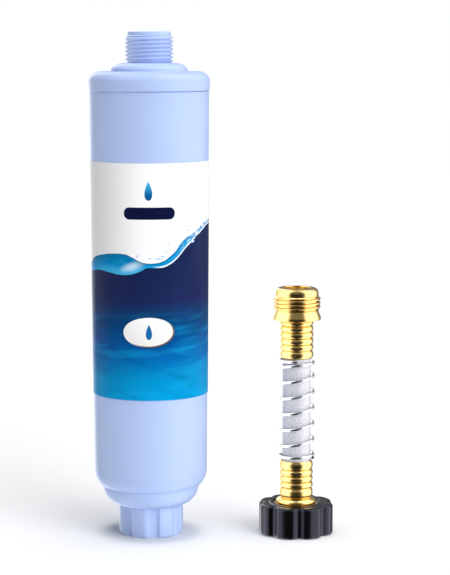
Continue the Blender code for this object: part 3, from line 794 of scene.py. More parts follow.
class LabelArt(Finish):
    """The printed wrap: shapes are masks on the label's arc and height, laid over each other."""

    def __init__(self, name, axis_x):
        super().__init__(name)
        x, y, z = self.parts(self.place(axis_x))
        self.turn = x.maths("ARCTAN2", x, -y)
        self.arc = self.turn * LABEL_RADIUS_MM
        self.height = z * 1000.0

    def edge(self, points):
        """Height of a smooth line round the label, from its points."""
        placed = [((turn + 180) / 360, (height - WAVE_FLOOR) / WAVE_SPAN) for turn, height in points]
        share = self.turn * (0.5 / math.pi) + 0.5
        curve = self.node("ShaderNodeFloatCurve", {"points": placed}, {"Value": share})
        return curve * WAVE_SPAN + WAVE_FLOOR

    def oval(self, turn, height, half_length, half_height, tilt=0.0):
        """Distance from a point in half sizes: under 1 inside the oval."""
        across = self.arc - math.radians(turn) * LABEL_RADIUS_MM
        up = self.height - height
        cosine = math.cos(math.radians(tilt))
        sine = math.sin(math.radians(tilt))
        along = (across * cosine + up * sine) / half_length
        aside = (up * cosine - across * sine) / half_height
        return (along * along + aside * aside).root()

    def round_box(self, turn, height, half_length, half_height, corner):
        """Distance outside a box with round corners, in millimetres."""
        across = abs(self.arc - math.radians(turn) * LABEL_RADIUS_MM) - (half_length - corner)
        up = abs(self.height - height) - (half_height - corner)
        across = across.most(0.0)
        up = up.most(0.0)
        return (across * across + up * up).root() - corner

    def droplet(self, turn, height, half_height):
        """A plain water drop, 1 inside: round below and drawn to a point above."""
        across = abs(self.arc - math.radians(turn) * LABEL_RADIUS_MM) / half_height
        up = (self.height - height) / half_height
        width = ((1 - up) * 0.5).most(0.0) * ((1 + up).most(0.0) * 0.62).root() * 0.98
        return self.rise(width - across, 0.005, 0.045)


def deep_water(art, inks):
    """The lower field: deep water, with slow streaks of light that rise to the right."""
    height = art.height
    navy = tuple(inks.navy)
    depth = (height - 80.0) / 80.0
    stops = [
        (0.0, tuple(inks.bright)), (0.16, scaled(inks.bright, 0.82)), (0.34, tuple(inks.deep)),
        (0.54, scaled(inks.deep, 0.5)), (0.72, navy), (1.0, scaled(navy, 0.85)),
    ]
    water = art.node("ShaderNodeValToRGB", {"stops": stops}, {0: depth})
    flowing = art.joined(art.arc * 0.012, (height - art.arc * 0.08) * 0.09)
    streak = art.rise(art.noise(flowing, 1.6, 3.0, 0.55), 0.46, 0.72)
    beams = art.joined(art.arc * 0.02, (height + art.arc * 0.35) * 0.14)
    dark_streak = art.rise(art.noise(beams, 1.1, 2.0), 0.5, 0.75)
    low_field = 1 - art.rise(height, 118.0, 138.0)
    water = art.mix(streak * low_field * 0.4, water, shade(20, 170, 220))
    water = art.mix(dark_streak * low_field * 0.25, water, scaled(inks.deep, 0.45))
    fine = art.joined(art.arc * 0.004, (height - art.arc * 0.05) * 0.5)
    glint = art.rise(art.noise(fine, 1.0, 2.0), 0.66, 0.8) * art.rise(height, 104.0, 112.0)
    return art.mix(glint * (1 - art.rise(height, 118.0, 126.0)) * 0.5, water, shade(80, 200, 240))


def wave_ribbon(art, inks, top, foot):
    """The wave between its two edges, with a gleam, its foam and its rims."""
    height = art.height
    foam = tuple(inks.foam)
    ribbon = tuple(inks.ribbon)
    share = (height - foot) / (top - foot).most(0.05)
    swirl = art.joined(art.arc * 0.05, share * 0.9)
    curl = art.noise(swirl, 3.2, 4.0, 0.6)
    left = 1 - art.rise(art.arc, -9.0, 4.0)
    body = art.mix(art.rise(share, 0.1, 1.0), scaled(ribbon, 1.15), scaled(ribbon, 0.72))
    body = art.mix(art.rise(curl, 0.45, 0.75) * (0.6 - left * 0.42), body, shade(60, 190, 235))
    swash = (1 - art.rise(share, 0.08, 0.5)) * left * art.rise(art.arc, -46.0, -20.0)
    body = art.mix(swash * 0.6, body, shade(84, 202, 242))
    gleam = (1 - art.rise(art.oval(-15.0, 156.4, 10.0, 3.4, 16.0), 0.1, 1.0)) * left
    body = art.mix(gleam * 0.85, body, foam)
    right = art.rise(art.arc, 2.0, 9.0)
    lace = art.rise(art.noise(swirl, 7.0, 3.0, 0.65), 0.5, 0.6) * art.rise(art.arc, 14.0, 24.0)
    body = art.mix(lace * 0.75, body, foam)
    rim = (1 - art.rise(abs(height - foot - 0.45), 0.25, 0.6)) * right
    body = art.mix(rim, body, tuple(inks.paper))
    dark_rim = (1 - art.rise(abs(top - height - 0.25), 0.15, 0.5)) * (1 - art.rise(art.arc, 4.0, 16.0))
    return art.mix(dark_rim * 0.7, body, scaled(ribbon, 0.45))


def splashed_drops(art, picture, paper):
    """Small drops thrown up by the wave, pale inside."""
    for drop in DROPS:
        reach = art.oval(*drop)
        inside = 1 - art.rise(reach, 0.95, 1.15)
        filled = art.mix(art.rise(reach, 0.4, 0.95), paper, shade(24, 146, 214))
        picture = art.mix(inside * 0.9, picture, filled)
    return picture


def bar_and_sign(art, picture):
    """The plain dark bar and the plain droplet above it."""
    picture = art.mix(1 - art.rise(art.round_box(*PILL), -0.12, 0.12), picture, shade(14, 20, 58))
    tone = art.mix(art.rise(art.height, 194.5, 202.0), shade(8, 84, 150), shade(52, 168, 220))
    return art.mix(art.droplet(*SIGN), picture, tone)


def oval_seal(art, picture, silver):
    """The plain silver seal with its bevelled edge, its shadow and a droplet."""
    reach = art.oval(*SEAL)
    slant = art.arc * 0.6 - (art.height - SEAL[1])
    bevel = art.mix(art.rise(slant, -4.0, 7.0), shade(252, 252, 252), shade(96, 84, 78))
    shine = art.mix(art.rise(slant, -14.0, 14.0), shade(250, 250, 250), silver)
    picture = art.mix((1 - art.rise(reach, 1.0, 1.22)) * 0.35, picture, shade(0, 48, 104))
    picture = art.mix(1 - art.rise(reach, 0.985, 1.01), picture, bevel)
    face = art.oval(SEAL[0] - 0.55, SEAL[1] + 0.3, SEAL[2] * 0.955, SEAL[3] * 0.94)
    picture = art.mix(1 - art.rise(face, 0.985, 1.015), picture, shine)
    return art.mix(art.droplet(SEAL[0], SEAL[1] + 0.4, 4.4), picture, shade(24, 104, 168))


def label_film(axis_x):
    """The wrap label: white field, splashing wave, deep water fading to bright blue, plain seal."""
    inks = bpy.context.scene.label_colours
    art = LabelArt("label_film", axis_x)
    top = art.edge(WAVE_TOP)
    foot = art.edge(WAVE_FOOT)
    paper = tuple(inks.paper)
    wave = wave_ribbon(art, inks, top, foot)
    picture = art.mix(art.rise(art.height - foot, -0.1, 0.1), deep_water(art, inks), wave)
    picture = art.mix(art.rise(art.height - top, -0.1, 0.1), picture, paper)
    picture = splashed_drops(art, picture, paper)
    picture = oval_seal(art, bar_and_sign(art, picture), tuple(inks.silver))

    # the film's own surface, with its lap at the back
    skin = art.noise(art.place(), 900.0, 2.0)
    lap = art.rise(abs(art.arc), LABEL_RADIUS_MM * math.pi - 4.2, LABEL_RADIUS_MM * math.pi - 4.0)
    return art.set(
        Base_Color=art.mix(lap * 0.06, picture, shade(120, 120, 120)), Roughness=art.span(skin, 0.26, 0.36),
        Normal=art.bump(skin * 0.2 + lap, 0.06 * MM, 0.4), Specular_IOR_Level=0.03,
    )


# ---- the filter's pieces ----

def wall_radius(z):
    """Outside radius of the canister's tapered wall."""
    sizes = bpy.context.scene.filter_sizes
    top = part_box("canister")[1].z
    return extent("canister")[3] - sizes.draft * (top - z) / (top - sizes.fillet_top)


def groove_press(radius, angle):
    """Radius of the collar with its grooves: a slope, a flat floor and a steep side."""
    sizes = bpy.context.scene.filter_sizes
    socket = sizes.thread_major / 2 + THREAD_PLAY
    panel = 2 * math.pi / sizes.panels
    place = math.degrees((angle - sizes.collar_turn + panel / 2) % panel - panel / 2)
    slope = min(max((place + 17.0) / 15.0, 0.0), 1.0)
    side = min(max((10.5 - place) / 2.6, 0.0), 1.0)
    share = min(slope, side)
    share = share * share * (3 - 2 * share)
    return min(radius, socket + sizes.collar_wall - sizes.groove_depth * share)


def make_canister():
    """The canister: tapered wall, foot fillet, ledge, bowl and threaded inlet collar."""
    sizes = bpy.context.scene.filter_sizes
    axis_x, bottom, top, rim = extent("canister")
    socket = sizes.thread_major / 2 + THREAD_PLAY
    collar = socket + sizes.collar_wall
    inner_top = wall_radius(top) - sizes.wall
    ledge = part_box("lower_support_grid")[0].z - GAP
    washer_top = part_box("inlet_washer")[1].z + GAP
    foot = wall_radius(sizes.fillet_top)
    step_radius = foot - FILLET_IN
    bowl_top = step_radius - STEP_IN
    bowl_bottom = bowl_top - BOWL_IN
    ledge_inner = wall_radius(ledge) - sizes.wall - LEDGE_WIDTH
    inside = draw_in((ledge_inner, ledge - 2 * sizes.wall), (bowl_bottom - sizes.wall, FLOOR_HEIGHT), 8, 70)
    corners = [
        (socket + 0.7 * MM, bottom, CRISP),
        (socket, bottom + 0.7 * MM, CRISP),
        (socket, washer_top, 0),
        (INLET_BORE, washer_top, 0.6 * MM),
        (INLET_BORE, FLOOR_HEIGHT, 0.8 * MM),
    ]
    corners += sharp(reversed(inside))
    corners += [
        (ledge_inner, ledge, 0.4 * MM),
        (wall_radius(ledge) - sizes.wall, ledge, 0.4 * MM),
        (inner_top, top, CRISP),
        (rim, top, EASED),
    ]
    for step in range(1, 8):
        z = top + (sizes.fillet_top - top) * step / 8
        corners.append((wall_radius(z), z, 0))
    step_edge = (step_radius + 0.25 * MM, sizes.step_height + 0.4 * MM)
    corners += sharp(draw_in((foot, sizes.fillet_top), step_edge, 12, 55))
    corners += [
        (step_radius, sizes.step_height, 0.25 * MM),
        (bowl_top - 0.15 * MM, sizes.step_height - 0.05 * MM, 0.25 * MM),
    ]
    bowl_foot = (bowl_bottom + 0.3 * MM, sizes.collar_height + 0.5 * MM)
    corners += sharp(draw_in((bowl_top, sizes.step_height - 0.8 * MM), bowl_foot, 12, 62))
    corners += [
        (bowl_bottom - 0.6 * MM, sizes.collar_height + 0.1 * MM, EASED),
        (collar, sizes.collar_height - 0.1 * MM, 0.4 * MM),
        (collar, sizes.collar_height * 0.5, 0),
        (collar, bottom, 2.2 * MM),
    ]
    canister = lathe("canister_shell", soften(corners, 4), ROUND, axis_x)
    press(canister, axis_x, (-1.0, sizes.collar_height), socket + 1.2 * MM, groove_press)
    crest = socket - sizes.thread_depth
    add_thread(canister, axis_x, socket, crest, bottom + 0.9 * MM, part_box("inlet_washer")[0].z - GAP)
    smooth(canister)
    dress(canister, "filter", "moulded_blue", moulded_plastic("canister_blue"), "canister")


def make_cap():
    """The end cap: rounded shoulder, boss, and outlet neck with its thread."""
    sizes = bpy.context.scene.filter_sizes
    axis_x, bottom, top, radius = extent("outlet_cap")
    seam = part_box("canister")[1].z + GAP
    crest = sizes.thread_major / 2
    root = crest - sizes.thread_depth
    neck_bottom = top - NECK_LENGTH
    shoulder = neck_bottom - BOSS_HEIGHT
    ring_outer = wall_radius(seam) - sizes.wall - GAP
    tip_outer = wall_radius(bottom) - sizes.wall - GAP
    boss = sizes.boss / 2
    ceiling = shoulder - sizes.wall
    round_in, round_down = SHOULDER_ROUND
    corners = [
        (NECK_BORE, top, EASED),
        (NECK_BORE, ceiling, EASED),
        (ring_outer - sizes.wall, ceiling, 1.5 * MM),
        (tip_outer - sizes.wall, bottom, 0.4 * MM),
        (tip_outer, bottom, 0.4 * MM),
        (ring_outer, seam, 0),
        (radius, seam, EASED),
    ]
    corners += sharp(draw_in((radius, shoulder - round_down), (radius - round_in, shoulder), 12, 90))
    corners.append((boss, shoulder, EASED))
    corners += sharp(draw_in((boss, shoulder + 0.7 * MM), (boss - BOSS_SLOPE, neck_bottom), 10, 90))
    corners += [
        (root, neck_bottom, CRISP),
        (root, top, 0.9 * MM),
    ]
    cap = lathe("outlet_cap_shell", soften(corners, 8), ROUND, axis_x)
    add_thread(cap, axis_x, root, crest, neck_bottom + 0.1 * MM, top - 2.0 * MM, 0.78 * MM)
    smooth(cap)
    dress(cap, "filter", "moulded_blue", moulded_plastic("cap_blue"), "outlet_cap")


def make_label():
    """The wrap label, a thin film that follows the canister's taper."""
    axis_x, bottom, top = extent("label_wrap")[:3]
    heights = levels(bottom, top, 12)
    outline = [(wall_radius(z) + FILM_LIFT, z) for z in heights]
    outline += [(wall_radius(z) + (FILM_LIFT + FILM), z) for z in reversed(heights)]
    label = smooth(lathe("label_film", outline, ROUND, axis_x))
    dress(label, "filter", "label_film", label_film(axis_x), "label_wrap")


def make_disc(name, node):
    """A round slab in the place of a CAD node, its edges bevelled."""
    axis_x, bottom, top, radius = extent(node)
    deselect()
    bpy.ops.mesh.primitive_cylinder_add(
        vertices=ROUND, radius=radius, depth=top - bottom, location=(axis_x, 0, (bottom + top) / 2)
    )
    disc = tidy(started(name))
    shape(disc, "BEVEL", width=0.35 * MM, segments=3, limit_method="ANGLE")
    return disc


def make_media():
    """Felt pads and granule beds inside the canister."""
    felt = needled_felt()
    carbon = packed_granules("carbon_granules", "carbon", 1.1 * MM, 0.0, 0.75)
    bronze = packed_granules("kdf_granules", "bronze", 0.8 * MM, 0.7, 0.5)
    fills = (
        ("lower_felt", "lower_felt_pad", "felt", felt),
        ("middle_felt", "middle_felt_pad", "felt", felt),
        ("upper_felt", "upper_felt_pad", "felt", felt),
        ("carbon_fill", "carbon_bed", "carbon_granules", carbon),
        ("kdf_fill", "kdf_bed", "kdf_granules", bronze),
    )
    for name, node, slot, finish in fills:
        dress(smooth(make_disc(name, node)), "filter", slot, finish, node)


def make_grids():
    """The two support grids, with rings of round holes."""
    finish = white_grid_plastic()
    for name, node in (("lower_grid", "lower_support_grid"), ("upper_grid", "upper_support_grid")):
        axis_x, bottom, top, radius = extent(node)
        grid = make_disc(name, node)
        holes = None
        for count, share in GRID_RINGS:
            ring = radius * share
            for hole in range(count):
                angle = 2 * math.pi * hole / count
                place = (axis_x + ring * math.cos(angle), ring * math.sin(angle), (bottom + top) / 2)
                deselect()
                bpy.ops.mesh.primitive_cylinder_add(
                    vertices=32, radius=GRID_HOLE, depth=9 * MM, location=place
                )
                drill = bpy.context.object
                holes = drill if holes is None else join(holes, drill)
        combine(grid, holes, "DIFFERENCE")
        dress(smooth(grid), "filter", "grid_plastic", finish, node)


def join(first, second):
    """Join two objects into the first."""
    pick(first)
    second.select_set(True)
    bpy.ops.object.join()
    return first


def make_washers():
    """The rubber washers of the inlet socket and of the swivel nut."""
    finish = black_rubber("washer_rubber")
    cut = 0.4 * MM
    for name, node, body in (
        ("inlet_seal", "inlet_washer", "filter"),
        ("hose_seal", "hose_washer", "swivel"),
    ):
        axis_x, bottom, top, radius = extent(node)
        corners = [
            (WASHER_HOLE, bottom, cut), (radius, bottom, cut), (radius, top, cut), (WASHER_HOLE, top, cut),
        ]
        washer = smooth(lathe(name, soften(corners), FINE_ROUND, axis_x), 50)
        dress(washer, body, "washer_rubber", finish, node)


# ---- the protector's pieces ----

def beads(low, high, grooves, outer, depth):
    """Outside of a crimped sleeve from low to high: barrel-shaped beads between its grooves."""
    points = []
    edges = [low] + grooves + [high]
    steps = 10
    for start, end in zip(edges, edges[1:]):
        for step in range(steps):
            share = step / steps
            z = start + (end - start) * share
            points.append((outer - depth * (1 - math.sin(math.pi * share)) ** 1.6, z))
    points.append((outer - depth, high))
    return points


def groove_heights(bottom, grooves):
    """Heights of a ferrule's grooves over its foot."""
    first, number = grooves
    pitch = bpy.context.scene.protector_sizes.bead_pitch
    return [bottom + first + pitch * count for count in range(number)]


def make_ferrules():
    """The two brass sleeves crimped on the hose, the lower one with its flared ring."""
    sizes = bpy.context.scene.protector_sizes
    bore = sizes.hose / 2 + GAP
    outer = bore + sizes.ferrule_wall
    axis_x, flare_bottom, top, flare = extent("lower_ferrule")
    bottom = flare_bottom + FLARE
    grooves = groove_heights(bottom, LOWER_GROOVES)
    corners = [
        (bore, top, 0),
        (bore, flare_bottom, 0),
        (flare - 0.3 * MM, flare_bottom, CRISP),
        (flare, flare_bottom + 0.5 * MM, CRISP),
        (flare - 0.2 * MM, flare_bottom + 1.3 * MM, CRISP),
        (outer + 0.4 * MM, bottom + 0.4 * MM, CRISP),
    ]
    corners += sharp(beads(bottom + 0.9 * MM, top, grooves, outer, sizes.bead_depth))
    lower = smooth(lathe("lower_sleeve", soften(corners), FINE_ROUND, axis_x), 50)
    dress(lower, "protector", "brass", turned_brass("lower_ferrule_brass", 0.24), "lower_ferrule")

    axis_x, bottom, top = extent("upper_ferrule")[:3]
    grooves = groove_heights(bottom, UPPER_GROOVES)
    corners = [(bore, top, 0), (bore, bottom, 0)]
    corners += sharp(beads(bottom, top, grooves, outer, sizes.bead_depth))
    upper = smooth(lathe("upper_sleeve", soften(corners), FINE_ROUND, axis_x), 50)
    dress(upper, "protector_head", "brass", turned_brass("upper_ferrule_brass", 0.24), "upper_ferrule")


def give_tube_map(tube, axis_x, low, radius):
    """Own lengths of a tube: U is turns round it, V its height in circumferences."""
    layer = tube.data.uv_layers.new(name="tube")
    around = 2 * math.pi * radius
    for face in tube.data.polygons:
        middle = math.atan2(face.center.y, face.center.x - axis_x) / (2 * math.pi)
        for corner in face.loop_indices:
            point = tube.data.vertices[tube.data.loops[corner].vertex_index].co
            turn = math.atan2(point.y, point.x - axis_x) / (2 * math.pi)
            turn += round(middle - turn)
            layer.data[corner].uv = (turn, (point.z - low) / around)


def make_hose():
    """The vinyl tube and the braid over it, between the two ferrules."""
    for name, node, slot, wall, finish in (
        ("hose_tube", "hose_liner", "hose_vinyl", LINER_WALL, clear_vinyl()),
        ("hose_cover", "hose_braid", "hose_braid", BRAID_WALL, braided_hose()),
    ):
        axis_x, bottom, top, radius = extent(node)
        heights = levels(bottom, top, 100)
        outline = [(radius, z) for z in heights] + [(radius - wall, z) for z in reversed(heights)]
        tube = smooth(lathe(name, outline, 64, axis_x))
        give_tube_map(tube, axis_x, bottom, radius)
        dress(tube, None, slot, finish, node)
        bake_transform(tube)


def make_spring():
    """The open coil spring, its end turns closed."""
    sizes = bpy.context.scene.protector_sizes
    axis_x, bottom, top = extent("spring_guard")[:3]
    half_wire = sizes.wire / 2
    low = bottom + half_wire
    high = top - half_wire
    closed_pitch = sizes.wire + END_GAP
    open_pitch = (high - low - 2 * closed_pitch) / sizes.open_turns
    steps = 64
    turns = sizes.open_turns + 2
    count = round(turns * steps)
    curve = bpy.data.curves.new("spring_wire", "CURVE")
    curve.dimensions = "3D"
    curve.bevel_depth = half_wire
    curve.bevel_resolution = 4
    curve.use_fill_caps = True
    line = curve.splines.new("POLY")
    line.points.add(count)
    for step in range(count + 1):
        turn = turns * step / count
        opened = min(max(turn - 1.0, 0.0), sizes.open_turns)
        z = low + closed_pitch * (turn - opened) + open_pitch * opened
        angle = 2 * math.pi * turn
        line.points[step].co = (axis_x + sizes.coil * math.cos(angle), sizes.coil * math.sin(angle), z, 1)
    spring = bpy.data.objects.new("spring_wire", curve)
    bpy.context.scene.collection.objects.link(spring)
    pick(spring)
    bpy.ops.object.convert(target="MESH")
    spring = bpy.context.object
    spring.name = "guard_spring"
    edit(spring)
    tidy(spring)
    smooth(spring, 60)
    dress(spring, None, "spring_steel", spring_wire(), "spring_guard")
    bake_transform(spring)


def barb(start, end, radius):
    """Outside of a hose barb from start to end: four saw teeth."""
    points = []
    teeth = 4
    for tooth in range(teeth):
        base = start + (end - start) * tooth / teeth
        tip = base + (end - start) / teeth * 0.9
        points += [(radius, base), (radius - BARB_TOOTH, tip)]
    return points + [(radius - BARB_TOOTH, end)]


def make_tailpiece():
    """The brass tailpiece: flange, stem and barb."""
    sizes = bpy.context.scene.protector_sizes
    axis_x, bottom, top, radius = extent("tailpiece")
    stem = sizes.hose / 2
    barb_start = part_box("hose_liner")[0].z - GAP
    barb_radius = extent("hose_liner")[3] - BARB_DEPTH
    bore = barb_radius - BARB_WALL
    corners = [
        (bore, top, 0),
        (bore, bottom, CRISP),
        (radius, bottom, CRISP),
        (radius, bottom + FLANGE, CRISP),
        (stem, bottom + FLANGE, CRISP),
        (stem, barb_start, CRISP),
    ]
    corners += sharp(barb(barb_start, top, barb_radius))
    tail = smooth(lathe("tail_stem", soften(corners), FINE_ROUND, axis_x))
    dress(tail, "protector", "brass", turned_brass("tailpiece_brass", 0.22), "tailpiece")


def make_nut():
    """The brass swivel nut: threaded socket, web and neck."""
    sizes = bpy.context.scene.filter_sizes
    axis_x, bottom, top, radius = extent("swivel_nut")
    socket = sizes.thread_major / 2 + THREAD_PLAY
    hole = bpy.context.scene.protector_sizes.hose / 2 + NUT_PLAY
    neck = hole + NUT_NECK
    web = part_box("tailpiece")[0].z + FLANGE + GAP
    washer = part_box("hose_washer")[0].z
    corners = [
        (hole, web, 0.2 * MM),
        (hole, top, 0.4 * MM),
        (neck, top, EASED),
        (neck, top - NUT_NECK_HEIGHT, 0.2 * MM),
        (radius, top - NUT_NECK_HEIGHT, CRISP),
        (radius, bottom, 0.4 * MM),
        (socket + 0.6 * MM, bottom, 0.2 * MM),
        (socket, bottom + 0.6 * MM, 0.2 * MM),
        (socket, web, 0),
    ]
    nut = lathe("brass_nut", soften(corners), FINE_ROUND, axis_x)
    add_thread(nut, axis_x, socket, socket - sizes.thread_depth, bottom + 0.8 * MM, washer - GAP)
    smooth(nut)
    dress(nut, "swivel", "brass", turned_brass("nut_brass", 0.2), "swivel_nut")


def lobe_press(radius, angle):
    """Radius of the grip with the valleys between its lobes."""
    sizes = bpy.context.scene.protector_sizes
    share = 0.5 - 0.5 * math.cos(sizes.lobes * (angle - sizes.grip_turn))
    return radius - sizes.grip_valley * share ** 3


def make_grip():
    """The black grip moulded round the brass nut."""
    sizes = bpy.context.scene.protector_sizes
    axis_x, bottom, top = extent("nut_grip")[:3]
    outer = sizes.grip_radius
    bore = extent("swivel_nut")[3] + GAP
    hole = sizes.hose / 2 + GRIP_HOLE
    lip = top - GRIP_TOP
    corners = [
        (bore, bottom, CRISP),
        (outer, bottom, 1.6 * MM),
        (outer, top - 6 * MM, 0),
        (outer, top, GRIP_CUT),
        (hole + GRIP_CUT, top - 0.5 * MM, 0.8 * MM),
        (hole + 1.6 * MM, top, EASED),
        (hole, top, EASED),
        (hole, lip, 0),
        (bore, lip, 0),
    ]
    grip = lathe("lobed_grip", soften(corners, 5), sizes.lobes * 24, axis_x)
    press(grip, axis_x, (-1.0, 1.0), bore + 0.9 * MM, lobe_press)
    smooth(grip, 40)
    dress(grip, "swivel", "grip_black", gloss_black(), "nut_grip")


def make_male_fitting():
    """The male hose fitting: barb, sloped flange, thread and rounded nose."""
    sizes = bpy.context.scene.filter_sizes
    axis_x, bottom, top = extent("male_fitting")[:3]
    crest = sizes.thread_major / 2
    root = crest - sizes.thread_depth
    barb_radius = extent("hose_liner")[3] - BARB_DEPTH
    bore = barb_radius - BARB_WALL
    flange_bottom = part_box("upper_ferrule")[1].z + GAP
    flange_top = flange_bottom + FITTING_FLANGE
    thread_top = top - NOSE_HEIGHT
    flange = crest + 0.2 * MM
    nose = crest - NOSE_IN
    counterbore = top - COUNTERBORE
    corners = [
        (NECK_BORE, top, EASED),
        (NECK_BORE, counterbore, CRISP),
        (bore, counterbore, CRISP),
        (bore, bottom, 0),
    ]
    corners += sharp(reversed(barb(flange_bottom, bottom, barb_radius)))
    corners += [
        (flange, flange_bottom, 0.4 * MM),
        (flange, flange_bottom + 1.4 * MM, EASED),
        (flange - 1.5 * MM, flange_top, CRISP),
        (root, flange_top, 0.2 * MM),
        (root, thread_top, 0.2 * MM),
        (nose, thread_top, CRISP),
        (nose, top, 3.4 * MM),
    ]
    fitting = lathe("hose_fitting", soften(corners, 6), FINE_ROUND, axis_x)
    add_thread(fitting, axis_x, root, crest, flange_top + 0.1 * MM, thread_top + 0.2 * MM)
    smooth(fitting)
    dress(fitting, "protector_head", "brass", turned_brass("male_brass", 0.2), "male_fitting")


# ---- stage ----

FLOOR_SIZE = 6.0
ROOM_COLOUR = (0.95, 0.97, 1.0, 1.0)
SEEN_WHITE = 1.05           # strength of the room where the camera sees it
SIDE_PANELS = 2.6           # strength of the bright sides in reflections
RIM_PANEL = 2.2             # strength of the panel behind and to the left, in reflections


def add_sun(name, turn, strength, spread):
    """A distant light, as wide as a big softbox. Spread is in degrees."""
    bpy.ops.object.light_add(type="SUN", rotation=turn)
    light = bpy.context.object
    light.name = name
    light.data.energy = strength
    light.data.angle = math.radians(spread)
    light.visible_glossy = False


def make_stage():
    """Camera, floor, lights and the white room round them."""
    stage = bpy.context.scene.stage
    scene = bpy.context.scene
    filter_x = extent("canister")[0]
    place = (filter_x + stage.aside, -stage.distance, stage.height)
    deselect()
    bpy.ops.object.camera_add(location=place, rotation=(math.pi / 2 - stage.dip, 0, 0))
    scene.camera = bpy.context.object
    scene.camera.data.lens = stage.lens
    scene.camera.data.clip_end = 100.0

    deselect()
    bpy.ops.mesh.primitive_plane_add(size=FLOOR_SIZE, location=(0, 0, 0))
    floor = bpy.context.object
    floor.name = "floor"
    floor.visible_glossy = False
    pale = Finish("floor_white")
    grain = pale.noise(pale.place(), 6.0, 2.0)
    pale.set(Base_Color=pale.mix(grain, (0.93, 0.93, 0.93), (0.95, 0.95, 0.95)), Roughness=0.9)
    floor.data.materials.append(pale.material)

    add_sun("key_light", (math.radians(66), 0, math.radians(42)), stage.key, 50)
    add_sun("overhead_light", (0, 0, 0), stage.overhead, 34)

    world = bpy.data.worlds.new("white_room")
    scene.world = world
    world.use_nodes = True
    room = Graph(world.node_tree)
    background = world.node_tree.nodes["Background"]
    path = room.node("ShaderNodeLightPath")
    seen = Signal(room, path.socket.node.outputs["Is Camera Ray"])
    mirrored = Signal(room, path.socket.node.outputs["Is Glossy Ray"])
    right, back, up = room.parts(room.node("ShaderNodeTexCoord", output="Generated"))
    level = (1.0001 - up * up).root()
    turned = back / level
    sides = room.rise(turned, -0.84, -0.60)
    behind = room.rise(turned, 0.30, 0.80)
    reflected = sides * (1 - behind * 0.92) * SIDE_PANELS + room.rise(up, 0.05, 0.8) * 0.3 + 0.03
    rim = room.rise(turned, 0.70, 0.88) * room.rise(-right, 0.05, 0.25)
    reflected = reflected + rim * RIM_PANEL
    lit = (right * 0.7 + 1.0) * stage.ambient
    strength = seen * SEEN_WHITE + mirrored * reflected + (1 - seen - mirrored) * lit
    world.node_tree.links.new(strength.socket, background.inputs["Strength"])
    background.inputs["Color"].default_value = ROOM_COLOUR
    scene.view_settings.view_transform = "Standard"


# ---- add-on ----

class FILTER_OT_canister(bpy.types.Operator):
    """Model the canister with its inlet collar and socket thread"""
    bl_idname = "filter_part.canister"
    bl_label = "Canister"

    def execute(self, context):
        make_canister()
        return {"FINISHED"}


class FILTER_OT_cap(bpy.types.Operator):
    """Model the end cap with its threaded outlet neck"""
    bl_idname = "filter_part.cap"
    bl_label = "Outlet Cap"

    def execute(self, context):
        make_cap()
        return {"FINISHED"}


class FILTER_OT_label(bpy.types.Operator):
    """Model the wrap label and print its artwork"""
    bl_idname = "filter_part.label"
    bl_label = "Label"

    def execute(self, context):
        make_label()
        return {"FINISHED"}


class FILTER_OT_media(bpy.types.Operator):
    """Model the felt pads and the granule beds"""
    bl_idname = "filter_part.media"
    bl_label = "Filter Media"

    def execute(self, context):
        make_media()
        return {"FINISHED"}


class FILTER_OT_grids(bpy.types.Operator):
    """Model the two support grids"""
    bl_idname = "filter_part.grids"
    bl_label = "Support Grids"

    def execute(self, context):
        make_grids()
        return {"FINISHED"}


class FILTER_OT_washers(bpy.types.Operator):
    """Model the two rubber washers"""
    bl_idname = "filter_part.washers"
    bl_label = "Washers"

    def execute(self, context):
        make_washers()
        return {"FINISHED"}


class FILTER_OT_ferrules(bpy.types.Operator):
    """Model the two crimped brass sleeves"""
    bl_idname = "filter_part.ferrules"
    bl_label = "Ferrules"

    def execute(self, context):
        make_ferrules()
        return {"FINISHED"}


class FILTER_OT_hose(bpy.types.Operator):
    """Model the hose's inner tube and its braided cover"""
    bl_idname = "filter_part.hose"
    bl_label = "Hose"

    def execute(self, context):
        make_hose()
        return {"FINISHED"}


class FILTER_OT_spring(bpy.types.Operator):
    """Model the guard spring"""
    bl_idname = "filter_part.spring"
    bl_label = "Spring"

    def execute(self, context):
        make_spring()
        return {"FINISHED"}


class FILTER_OT_tailpiece(bpy.types.Operator):
    """Model the brass tailpiece"""
    bl_idname = "filter_part.tailpiece"
    bl_label = "Tailpiece"

    def execute(self, context):
        make_tailpiece()
        return {"FINISHED"}


class FILTER_OT_nut(bpy.types.Operator):
    """Model the brass swivel nut"""
    bl_idname = "filter_part.nut"
    bl_label = "Swivel Nut"

    def execute(self, context):
        make_nut()
        return {"FINISHED"}


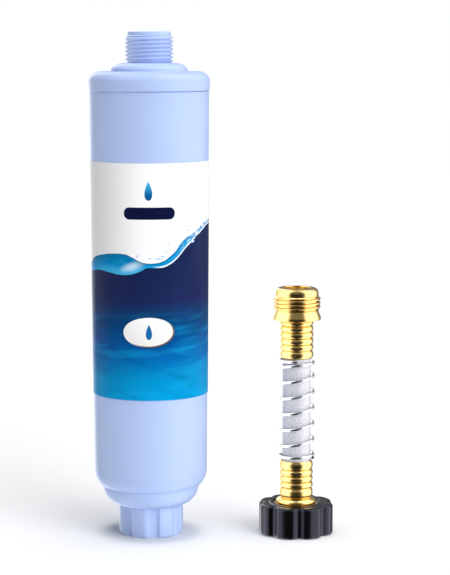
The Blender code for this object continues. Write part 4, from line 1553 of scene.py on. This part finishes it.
class FILTER_OT_grip(bpy.types.Operator):
    """Model the lobed black grip"""
    bl_idname = "filter_part.grip"
    bl_label = "Nut Grip"

    def execute(self, context):
        make_grip()
        return {"FINISHED"}


class FILTER_OT_fitting(bpy.types.Operator):
    """Model the male hose fitting"""
    bl_idname = "filter_part.fitting"
    bl_label = "Male Fitting"

    def execute(self, context):
        make_male_fitting()
        return {"FINISHED"}


class FILTER_OT_stage(bpy.types.Operator):
    """Set up the floor, the lights and the camera"""
    bl_idname = "filter_part.stage"
    bl_label = "Stage"

    def execute(self, context):
        make_stage()
        return {"FINISHED"}


PIECES = (
    FILTER_OT_canister, FILTER_OT_cap, FILTER_OT_label, FILTER_OT_media, FILTER_OT_grids, FILTER_OT_washers,
    FILTER_OT_ferrules, FILTER_OT_hose, FILTER_OT_spring, FILTER_OT_tailpiece, FILTER_OT_nut, FILTER_OT_grip,
    FILTER_OT_fitting, FILTER_OT_stage,
)
GROUPS = (
    ("filter_sizes", FilterSizes), ("protector_sizes", ProtectorSizes), ("finishes", Finishes),
    ("label_colours", LabelColours), ("stage", Stage),
)


class FILTER_PT_pieces(bpy.types.Panel):
    """The pieces of the filter and its hose protector."""
    bl_idname = "FILTER_PT_pieces"
    bl_label = "Inline Water Filter"
    bl_space_type = "VIEW_3D"
    bl_region_type = "UI"
    bl_category = "Filter"

    def draw(self, context):
        for piece in PIECES:
            self.layout.operator(piece.bl_idname)


def register():
    """Register the groups, the operators and the panel."""
    for name, group in GROUPS:
        bpy.utils.register_class(group)
        setattr(bpy.types.Scene, name, bpy.props.PointerProperty(type=group))
    for piece in PIECES:
        bpy.utils.register_class(piece)
    bpy.utils.register_class(FILTER_PT_pieces)


def unregister():
    """Remove what register added."""
    bpy.utils.unregister_class(FILTER_PT_pieces)
    for piece in reversed(PIECES):
        bpy.utils.unregister_class(piece)
    for name, group in reversed(GROUPS):
        delattr(bpy.types.Scene, name)
        bpy.utils.unregister_class(group)


def main():
    """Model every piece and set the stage."""
    register()
    deselect()
    for piece in PIECES:
        group, name = piece.bl_idname.split(".")
        getattr(getattr(bpy.ops, group), name)()


if __name__ == "__main__":
    main()
